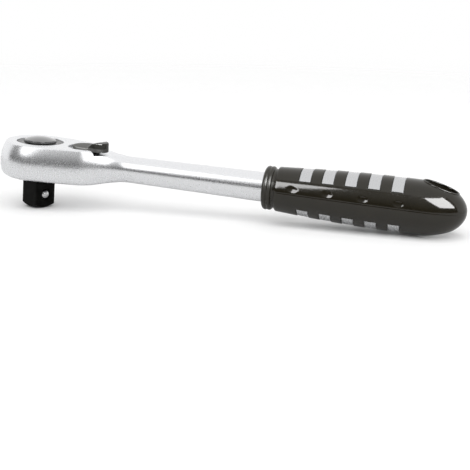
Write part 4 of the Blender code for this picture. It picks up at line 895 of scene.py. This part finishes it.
# %% Lines of the grid along and round the grip
WINDOW_MIDDLES = np.linspace(CORE_START + 11.4 * MM, CORE_END - 8.2 * MM, 5)
WINDOW_HALF = 3.1 * MM
WINDOW_ANGLE = math.radians(53)
TOP, BOTTOM = np.pi / 2, -np.pi / 2


def between(lines, step):
    """Add even lines wherever two neighbours stand further apart than a step."""
    lines = np.unique(np.round(lines, 7))
    return np.unique(np.concatenate([np.linspace(a, b, max(int(math.ceil((b - a) / step)), 1) + 1)
                                     for a, b in zip(lines[:-1], lines[1:])]))


def window_reach(x, angle):
    """How far a point lies outside the nearest window, along the handle and round it, in metres."""
    off_x = np.min(np.abs(x[..., None] - WINDOW_MIDDLES), axis=-1) - WINDOW_HALF
    turn = np.minimum(np.abs(np.angle(np.exp(1j * (angle - TOP)))), np.abs(np.angle(np.exp(1j * (angle - BOTTOM)))))
    off_round = (turn - WINDOW_ANGLE) * grip_radius(x)
    return off_x, off_round


print("windows at", np.round(1000 * WINDOW_MIDDLES, 1), "mm")

# %% Bright core in the windows
LAND_GAP, LAND_DEPTH, CORE_WALL = 0.2 * MM, 0.25 * MM, 2.9 * MM
land_edge = np.concatenate([s * (WINDOW_HALF - LAND_GAP - np.array([0, 0.02, 0.12, 0.3]) * MM) for s in (-1, 1)])
core_x = between(np.concatenate([[CORE_START, CORE_END], (WINDOW_MIDDLES[:, None] + land_edge).ravel()]), 2.2 * MM)
land_turn = WINDOW_ANGLE - LAND_GAP / BELLY_RADIUS
turns = np.concatenate([s * (land_turn - np.array([0, 0.02, 0.12, 0.3]) * MM / BELLY_RADIUS) for s in (-1, 1)])
core_angle = between(np.concatenate([TOP + turns, BOTTOM + turns, [-np.pi, np.pi]]), math.radians(3.5))[:-1]
X, A = np.meshgrid(core_x, core_angle, indexing="ij")
off_x, off_round = window_reach(X, A)
inside = -np.maximum(off_x + LAND_GAP, off_round + LAND_GAP)
raised = np.clip(inside / (0.02 * MM), 0, 1) * (CORE_WALL - LAND_DEPTH - 0.12 * MM) \
    + 0.12 * MM * np.sqrt(np.clip(1 - (1 - np.clip(inside / (0.14 * MM), 0, 1)) ** 2, 0, 1)) * (inside > 0)
R = grip_radius(X) - CORE_WALL + raised
core_points = np.stack([X, R * np.cos(A), AXIS_HEIGHT + R * np.sin(A)], axis=-1)
n_x, n_a = X.shape
caps = [list(range(n_a)), list(range((n_x - 1) * n_a, n_x * n_a))]
core = piece("plated_core", core_points, [*grid_faces(n_x, n_a, wrap=True), *caps])
bore_y, bore_z = half_section(6.9 * MM, 5.3 * MM, 0.35)
tang_ring = np.concatenate([np.stack([bore_y[0], bore_z[0]], -1), np.stack([-bore_y[0, 1:-1], bore_z[0, 1:-1]], -1)[::-1]])
tang_levels = np.array([CORE_START - 2 * MM, CORE_END - 1.7 * MM])
tang_points = np.stack([np.column_stack([np.full(len(tang_ring), x), tang_ring[:, 0], AXIS_HEIGHT + tang_ring[:, 1]]) for x in tang_levels])
m = len(tang_ring)
tang_bore = piece("tang_bore", tang_points, [*grid_faces(2, m, wrap=True), list(range(m)), list(range(m, 2 * m))])
carve(core, tang_bore)
dress(core, "handle", "grip_core", plated.material)

# %% [markdown]
# The grip is a moulding with a bead and a groove at its front, ten windows, four thumb dimples on each side, a fine
# seam where the mould closed and a hole in its nose to hang it by. One grid gives the outside and a second the
# cavity. The cells inside a window are left out of both, and walls join the two round its edge. Dimples, seam and
# rounded edges are all added to the radius.

# %% Outside of the grip
BEAD_END = GRIP_START + 5.0 * MM
BEAD_RADIUS, GROOVE_RADIUS = 11.5 * MM, 10.4 * MM
RIB_RADIUS, RIB_OFFSET = 1.5 * MM, 1.0 * MM
DIMPLE_MIDDLES = np.linspace(CORE_START + 5.6 * MM, CORE_END - 6.8 * MM, 4)
DIMPLE_HALF = np.array([3.0, 1.7]) * MM
DIMPLE_DEPTH, DIMPLE_RISE = 0.32 * MM, 3.2 * MM
HANG_X, HANG_SIZE = 218.5 * MM, np.array([7.6, 5.3]) * MM
HANG_FLARE, HANG_REACH, HANG_SWEEP = 3.3 / 5.3, BELLY_RADIUS + 2 * MM, 1.25
RIM_RADIUS = 0.45 * MM
EDGE = 0.3 * MM
SEAM_ANGLE = math.radians(2.5)
SEAM_DEPTH, SEAM_WIDTH = 0.06 * MM, 0.22 * MM
STEP_RISE, STEP_FADE = 0.08 * MM, 2.2 * MM


def outer_radius(x):
    """Bead of two round ribs, groove, then the body with a rounded front lip."""
    from_rib = np.abs(x - (GRIP_START + BEAD_END) / 2) - RIB_OFFSET
    bead = BEAD_RADIUS - RIB_RADIUS + np.sqrt(np.clip(RIB_RADIUS ** 2 - from_rib ** 2, 0, None))
    lip = np.clip(1 - (x - BODY_START) / (1.0 * MM), 0, 1)
    body = grip_radius(x) - 0.8 * MM * (1 - np.sqrt(1 - lip ** 2))
    return np.where(x <= BEAD_END, np.maximum(bead, GROOVE_RADIUS), np.where(x < BODY_START, GROOVE_RADIUS, body))


def relief(x, angle):
    """What dimples, the mould's seam and the eased edges of windows take off the radius.

    A dimple is a paraboloid: its depth falls with the square of the distance from its middle."""
    off_x, off_round = window_reach(x, angle)
    near = np.hypot(np.clip(off_x, 0, None), np.clip(off_round, 0, None))
    fall = EDGE - np.sqrt(EDGE ** 2 - (EDGE - np.clip(near, 0, EDGE)) ** 2)
    r = outer_radius(x)
    y, z = r * np.cos(angle), r * np.sin(angle)
    off = ((x[..., None] - DIMPLE_MIDDLES) / DIMPLE_HALF[0]) ** 2 + ((z[..., None] - DIMPLE_RISE) / DIMPLE_HALF[1]) ** 2
    scoop = DIMPLE_DEPTH * np.max(np.clip(1 - off, 0, 1), axis=-1)
    over_seam = (np.arctan2(z, np.abs(y)) - SEAM_ANGLE) * r
    groove = SEAM_DEPTH * np.exp(-(over_seam / SEAM_WIDTH) ** 2)
    step = STEP_RISE * np.exp(-np.abs(over_seam) / STEP_FADE) * np.clip(over_seam / (0.1 * MM), 0, 1)
    return fall + scoop + (groove - step) * np.clip((x - BODY_START) / (2 * MM), 0, 1) * (r > 0)


near_edge = np.array([0, 0.05, 0.12, 0.2, 0.3]) * MM
edges_x = (WINDOW_MIDDLES[:, None] + np.concatenate([-WINDOW_HALF - near_edge, WINDOW_HALF + near_edge])).ravel()
rib_x = RIB_OFFSET + RIB_RADIUS * np.sin(np.linspace(-math.asin(RIB_OFFSET / RIB_RADIUS), np.pi / 2, 15))
bead_middle = (GRIP_START + BEAD_END) / 2
front_x = np.concatenate([bead_middle - rib_x, bead_middle + rib_x, [GRIP_START, BEAD_END],
                          [BEAD_END + 0.01 * MM, BODY_START - 0.01 * MM],
                          BODY_START + 1.0 * MM * (1 - np.cos(np.linspace(0, np.pi / 2, 6)))])
CAVITY = (CORE_START - FIT, CORE_END + FIT)
dimple_x = (DIMPLE_MIDDLES[:, None] + DIMPLE_HALF[0] * np.linspace(-1, 1, 15)).ravel()
body_x = between(np.concatenate([front_x, edges_x, dimple_x, CAVITY, [GRIP_END - NOSE_LENGTH]]), 0.9 * MM)
nose_x = GRIP_END - NOSE_LENGTH + NOSE_LENGTH * np.sin(np.linspace(0, np.pi / 2, 64))
grip_x = np.concatenate([body_x, nose_x[1:]])
near_turn = WINDOW_ANGLE + near_edge / BELLY_RADIUS
seam_turn = SEAM_ANGLE + np.array([-0.5, -0.25, -0.12, -0.05, 0, 0.05, 0.1, 0.2, 0.4, 0.8]) * MM / BELLY_RADIUS
dimple_turn = np.arcsin((DIMPLE_RISE + DIMPLE_HALF[1] * np.linspace(-1.2, 1.2, 17)) / BELLY_RADIUS)
grip_angle = between(np.concatenate([dimple_turn, np.pi - dimple_turn, TOP - near_turn, TOP + near_turn, BOTTOM - near_turn, BOTTOM + near_turn, seam_turn,
                                     np.pi - seam_turn, [-np.pi, np.pi]]), math.radians(2.4))[:-1]
X, A = np.meshgrid(grip_x, grip_angle, indexing="ij")
R = np.clip(outer_radius(X) - relief(X, A), 0, None)
outside = np.stack([X, R * np.cos(A), AXIS_HEIGHT + R * np.sin(A)], axis=-1)
print("outside of the grip", X.shape)

# %% Cavity, windows and hanging hole
n_x, n_a = X.shape
first, last = (int(np.argmin(np.abs(grip_x - edge))) for edge in CAVITY)
within = slice(first, last + 1)
R_in = grip_radius(X[within]) - 2.6 * MM
cavity = np.stack([X[within], R_in * np.cos(A[within]), AXIS_HEIGHT + R_in * np.sin(A[within])], axis=-1)
NECK_BORE = 8.15 * MM
neck = np.stack([np.stack([np.full(n_a, x), NECK_BORE * np.cos(grip_angle), AXIS_HEIGHT + NECK_BORE * np.sin(grip_angle)], -1)
                 for x in (GRIP_START, grip_x[first])])
middle_x = (grip_x[:-1] + grip_x[1:]) / 2
middle_a = grip_angle + np.diff(np.append(grip_angle, grip_angle[0] + 2 * np.pi)) / 2
cell_x, cell_a = np.meshgrid(middle_x, middle_a, indexing="ij")
cell_off_x, cell_off_round = window_reach(cell_x, cell_a)
is_window = (cell_off_x < 0) & (cell_off_round < 0)
outer_id = np.arange(n_x * n_a).reshape(n_x, n_a)
inner_id = np.full((n_x, n_a), -1)
inner_id[within] = n_x * n_a + np.arange((last - first + 1) * n_a).reshape(-1, n_a)
neck_id = n_x * n_a + (last - first + 1) * n_a + np.arange(2 * n_a).reshape(2, n_a)


def cells(ids):
    """Corners of every cell of a wrapped grid of point numbers."""
    after = np.roll(ids, -1, axis=1)
    return np.stack([ids[:-1], after[:-1], after[1:], ids[1:]], axis=-1)


outer_cells = cells(outer_id)[~is_window]
inner_cells = cells(inner_id)[first:last][~is_window[first:last]]
across = is_window[1:] != is_window[:-1]
row, column = np.nonzero(across)
after = (column + 1) % n_a
walls_x = np.stack([outer_id[row + 1, column], outer_id[row + 1, after], inner_id[row + 1, after], inner_id[row + 1, column]], -1)
row, column = np.nonzero(is_window != np.roll(is_window, 1, axis=1))
walls_a = np.stack([outer_id[row, column], outer_id[row + 1, column], inner_id[row + 1, column], inner_id[row, column]], -1)


def band(a, b):
    """Cells that join two rings of point numbers."""
    return np.stack([a, np.roll(a, -1), np.roll(b, -1), b], axis=-1)


front = np.concatenate([band(outer_id[0], neck_id[0]), band(neck_id[0], neck_id[1]), band(neck_id[1], inner_id[first])])
faces = [*np.concatenate([outer_cells, inner_cells, walls_x, walls_a, front]), inner_id[last]]
grip = piece("moulded_grip", np.concatenate([outside.reshape(-1, 3), cavity.reshape(-1, 3), neck.reshape(-1, 3)]), faces)
flare = np.linspace(HANG_SWEEP, -HANG_SWEEP, 41)
hole_profile = np.column_stack([1 + HANG_FLARE * (1 - np.cos(flare)), HANG_REACH * np.sin(flare) / math.sin(HANG_SWEEP)])
hole = turned("hanging_hole", [(0, hole_profile[0, 1]), *hole_profile, (0, hole_profile[-1, 1])], 128)
hole.data.transform(Matrix.Translation((HANG_X, 0, AXIS_HEIGHT)) @ Matrix.Diagonal((*HANG_SIZE, 1, 1)))
carve(grip, hole)
print("grip with its windows and its hole")

# %% [markdown]
# A thin rounded rim stands round the upper mouth of the hanging hole. The line where the hole meets the skin has no
# simple formula, so it is closed in on: the hole's width at a guessed height gives a point of the skin, and that
# point's height gives a better width. A small circle is then carried along the line.

# %% Rim of the hanging hole
turn = np.linspace(0, 2 * np.pi, 145)
wide = np.ones_like(turn)
for step in range(30):
    rim_x = HANG_X + HANG_SIZE[0] * wide * np.cos(turn)
    rim_y = HANG_SIZE[1] * wide * np.sin(turn)
    rim_z = np.sqrt(grip_radius(rim_x) ** 2 - rim_y ** 2)
    wide = 1 + HANG_FLARE * (1 - np.sqrt(1 - (rim_z * math.sin(HANG_SWEEP) / HANG_REACH) ** 2))
rim_line = np.column_stack([rim_x, rim_y, rim_z])
ahead = np.roll(rim_line[:-1], -1, axis=0) - np.roll(rim_line[:-1], 1, axis=0)
ahead = np.concatenate([ahead, ahead[:1]]) / np.linalg.norm(ahead, axis=1, keepdims=True)[[*range(144), 0]]
aside = np.cross(ahead, rim_line * (0, 1, 1))
aside /= np.linalg.norm(aside, axis=1, keepdims=True)
outward = np.cross(aside, ahead)
circle = np.linspace(0, 2 * np.pi, 16, endpoint=False)[None, :, None]
tube = rim_line[:, None] + RIM_RADIUS * (np.cos(circle) * outward[:, None] + np.sin(circle) * aside[:, None])
hole_rim = piece("hole_rim", tube + (0, 0, AXIS_HEIGHT), grid_faces(*tube.shape[:2], wrap=True))
carve(grip, hole_rim, operation="UNION")
print("rim from", np.round(1000 * rim_x.min(), 1), "to", np.round(1000 * rim_x.max(), 1), "mm")
dress(grip, "handle", "grip", plastic.material, 38.0)

# %% [markdown]
# Two springs work out of sight: one lifts the button and one presses the plunger on the pawl. A spring is a
# wire wound on a mandrel, so each is a circle carried along a helix, measured from the imported model's own
# coil. A real one can't move as one stiff body, because one end stays put while the other is pushed, but here
# each coil is built once, at its imported length, and moves as one stiff piece.

# %% Coil springs
TURN_STEPS = 40
WIRE_STEPS = 10


def coil_spring(name, node, body, centre, along, across, turns, wire):
    """A wire round a helix: centre + radius (cos t across + sin t beside) + an even rise along its axis."""
    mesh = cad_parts[node].data
    points = np.empty(3 * len(mesh.vertices))
    mesh.vertices.foreach_get("co", points)
    offset = points.reshape(-1, 3) - centre
    rise = offset @ along
    radius = np.linalg.norm(offset - rise[:, None] * along, axis=1).max() - wire / 2
    angle = np.linspace(0, 2 * np.pi * turns, round(turns * TURN_STEPS) + 1)[:, None]
    outward = np.cos(angle) * across + np.sin(angle) * np.cross(along, across)
    heights = np.linspace(rise.min() + wire / 2, rise.max() - wire / 2, len(angle))[:, None]
    line = centre + radius * outward + heights * along
    ahead = np.gradient(line, axis=0)
    ahead /= np.linalg.norm(ahead, axis=1, keepdims=True)
    beside = np.cross(ahead, outward)
    turn = np.linspace(0, 2 * np.pi, WIRE_STEPS, endpoint=False)[None, :, None]
    tube = line[:, None] + wire / 2 * (np.cos(turn) * outward[:, None] + np.sin(turn) * beside[:, None])
    ends = np.arange(tube.size // 3).reshape(-1, WIRE_STEPS)[[0, -1]]
    spring = piece(name, tube, [*grid_faces(*tube.shape[:2], wrap=True), *ends])
    dress(spring, body, node, spring_wire.material)
    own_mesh(spring)


INTO_LEVER = np.array([math.cos(LEVER_TURN), math.sin(LEVER_TURN), 0.0])
UPWARDS = np.array([0.0, 0.0, 1.0])
coil_spring("button_lifting_spring", "button_spring", "drive", np.zeros(3), UPWARDS,
            np.array([1.0, 0.0, 0.0]), 4.5, 0.9 * MM)
coil_spring("plunger_pressing_spring", "detent_spring", "lever",
            np.array([LEVER_X, 0.0, PLUNGER_HEIGHT]), -INTO_LEVER, UPWARDS, 2.5, 0.45 * MM)

# %% [markdown]
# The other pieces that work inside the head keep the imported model's shapes, because nothing shows them until
# the tool is opened. They still get their own steel.

# %% Steel of the inner pieces
inner_finishes = {"pawl": turned_steel, "pawl_pin": turned_steel, "detent_plunger": turned_steel, "release_rod": turned_steel,
                  "lever_snap_ring": spring_wire, "friction_washer": spring_wire}
for node, finish in inner_finishes.items():
    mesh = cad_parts[node].data
    mesh.materials.clear()
    mesh.materials.append(finish.material)
print(len(inner_finishes), "inner pieces")

# %% [markdown]
# The last touch is which lamp serves which surface. Glossy black throws back a twentieth of the light and
# chrome nearly all of it, so lamps that draw a clear highlight on the grip would burn out the metal. A
# photographer flags a lamp off one thing and on to another. Blender does it with light linking: the sheets of
# light are seen only in the grip or the lever, and the weaker softboxes in everything else.

# %% Lamps for the black pieces and lamps for the metal
for lamps, surfaces, state in ((grip_lamps, [grip], "INCLUDE"), (lever_lamps, [lever], "INCLUDE"),
                               (metal_lamps, [grip, lever], "EXCLUDE")):
    linked = bpy.data.collections.new("lit_by_" + lamps[0].name)
    for surface in surfaces:
        linked.objects.link(surface)
    for entry in linked.collection_objects:
        entry.light_linking.link_state = state
    for lamp_object in lamps:
        lamp_object.light_linking.receiver_collection = linked
    print(state.lower(), [surface.name for surface in surfaces], "for", [lamp_object.name for lamp_object in lamps])
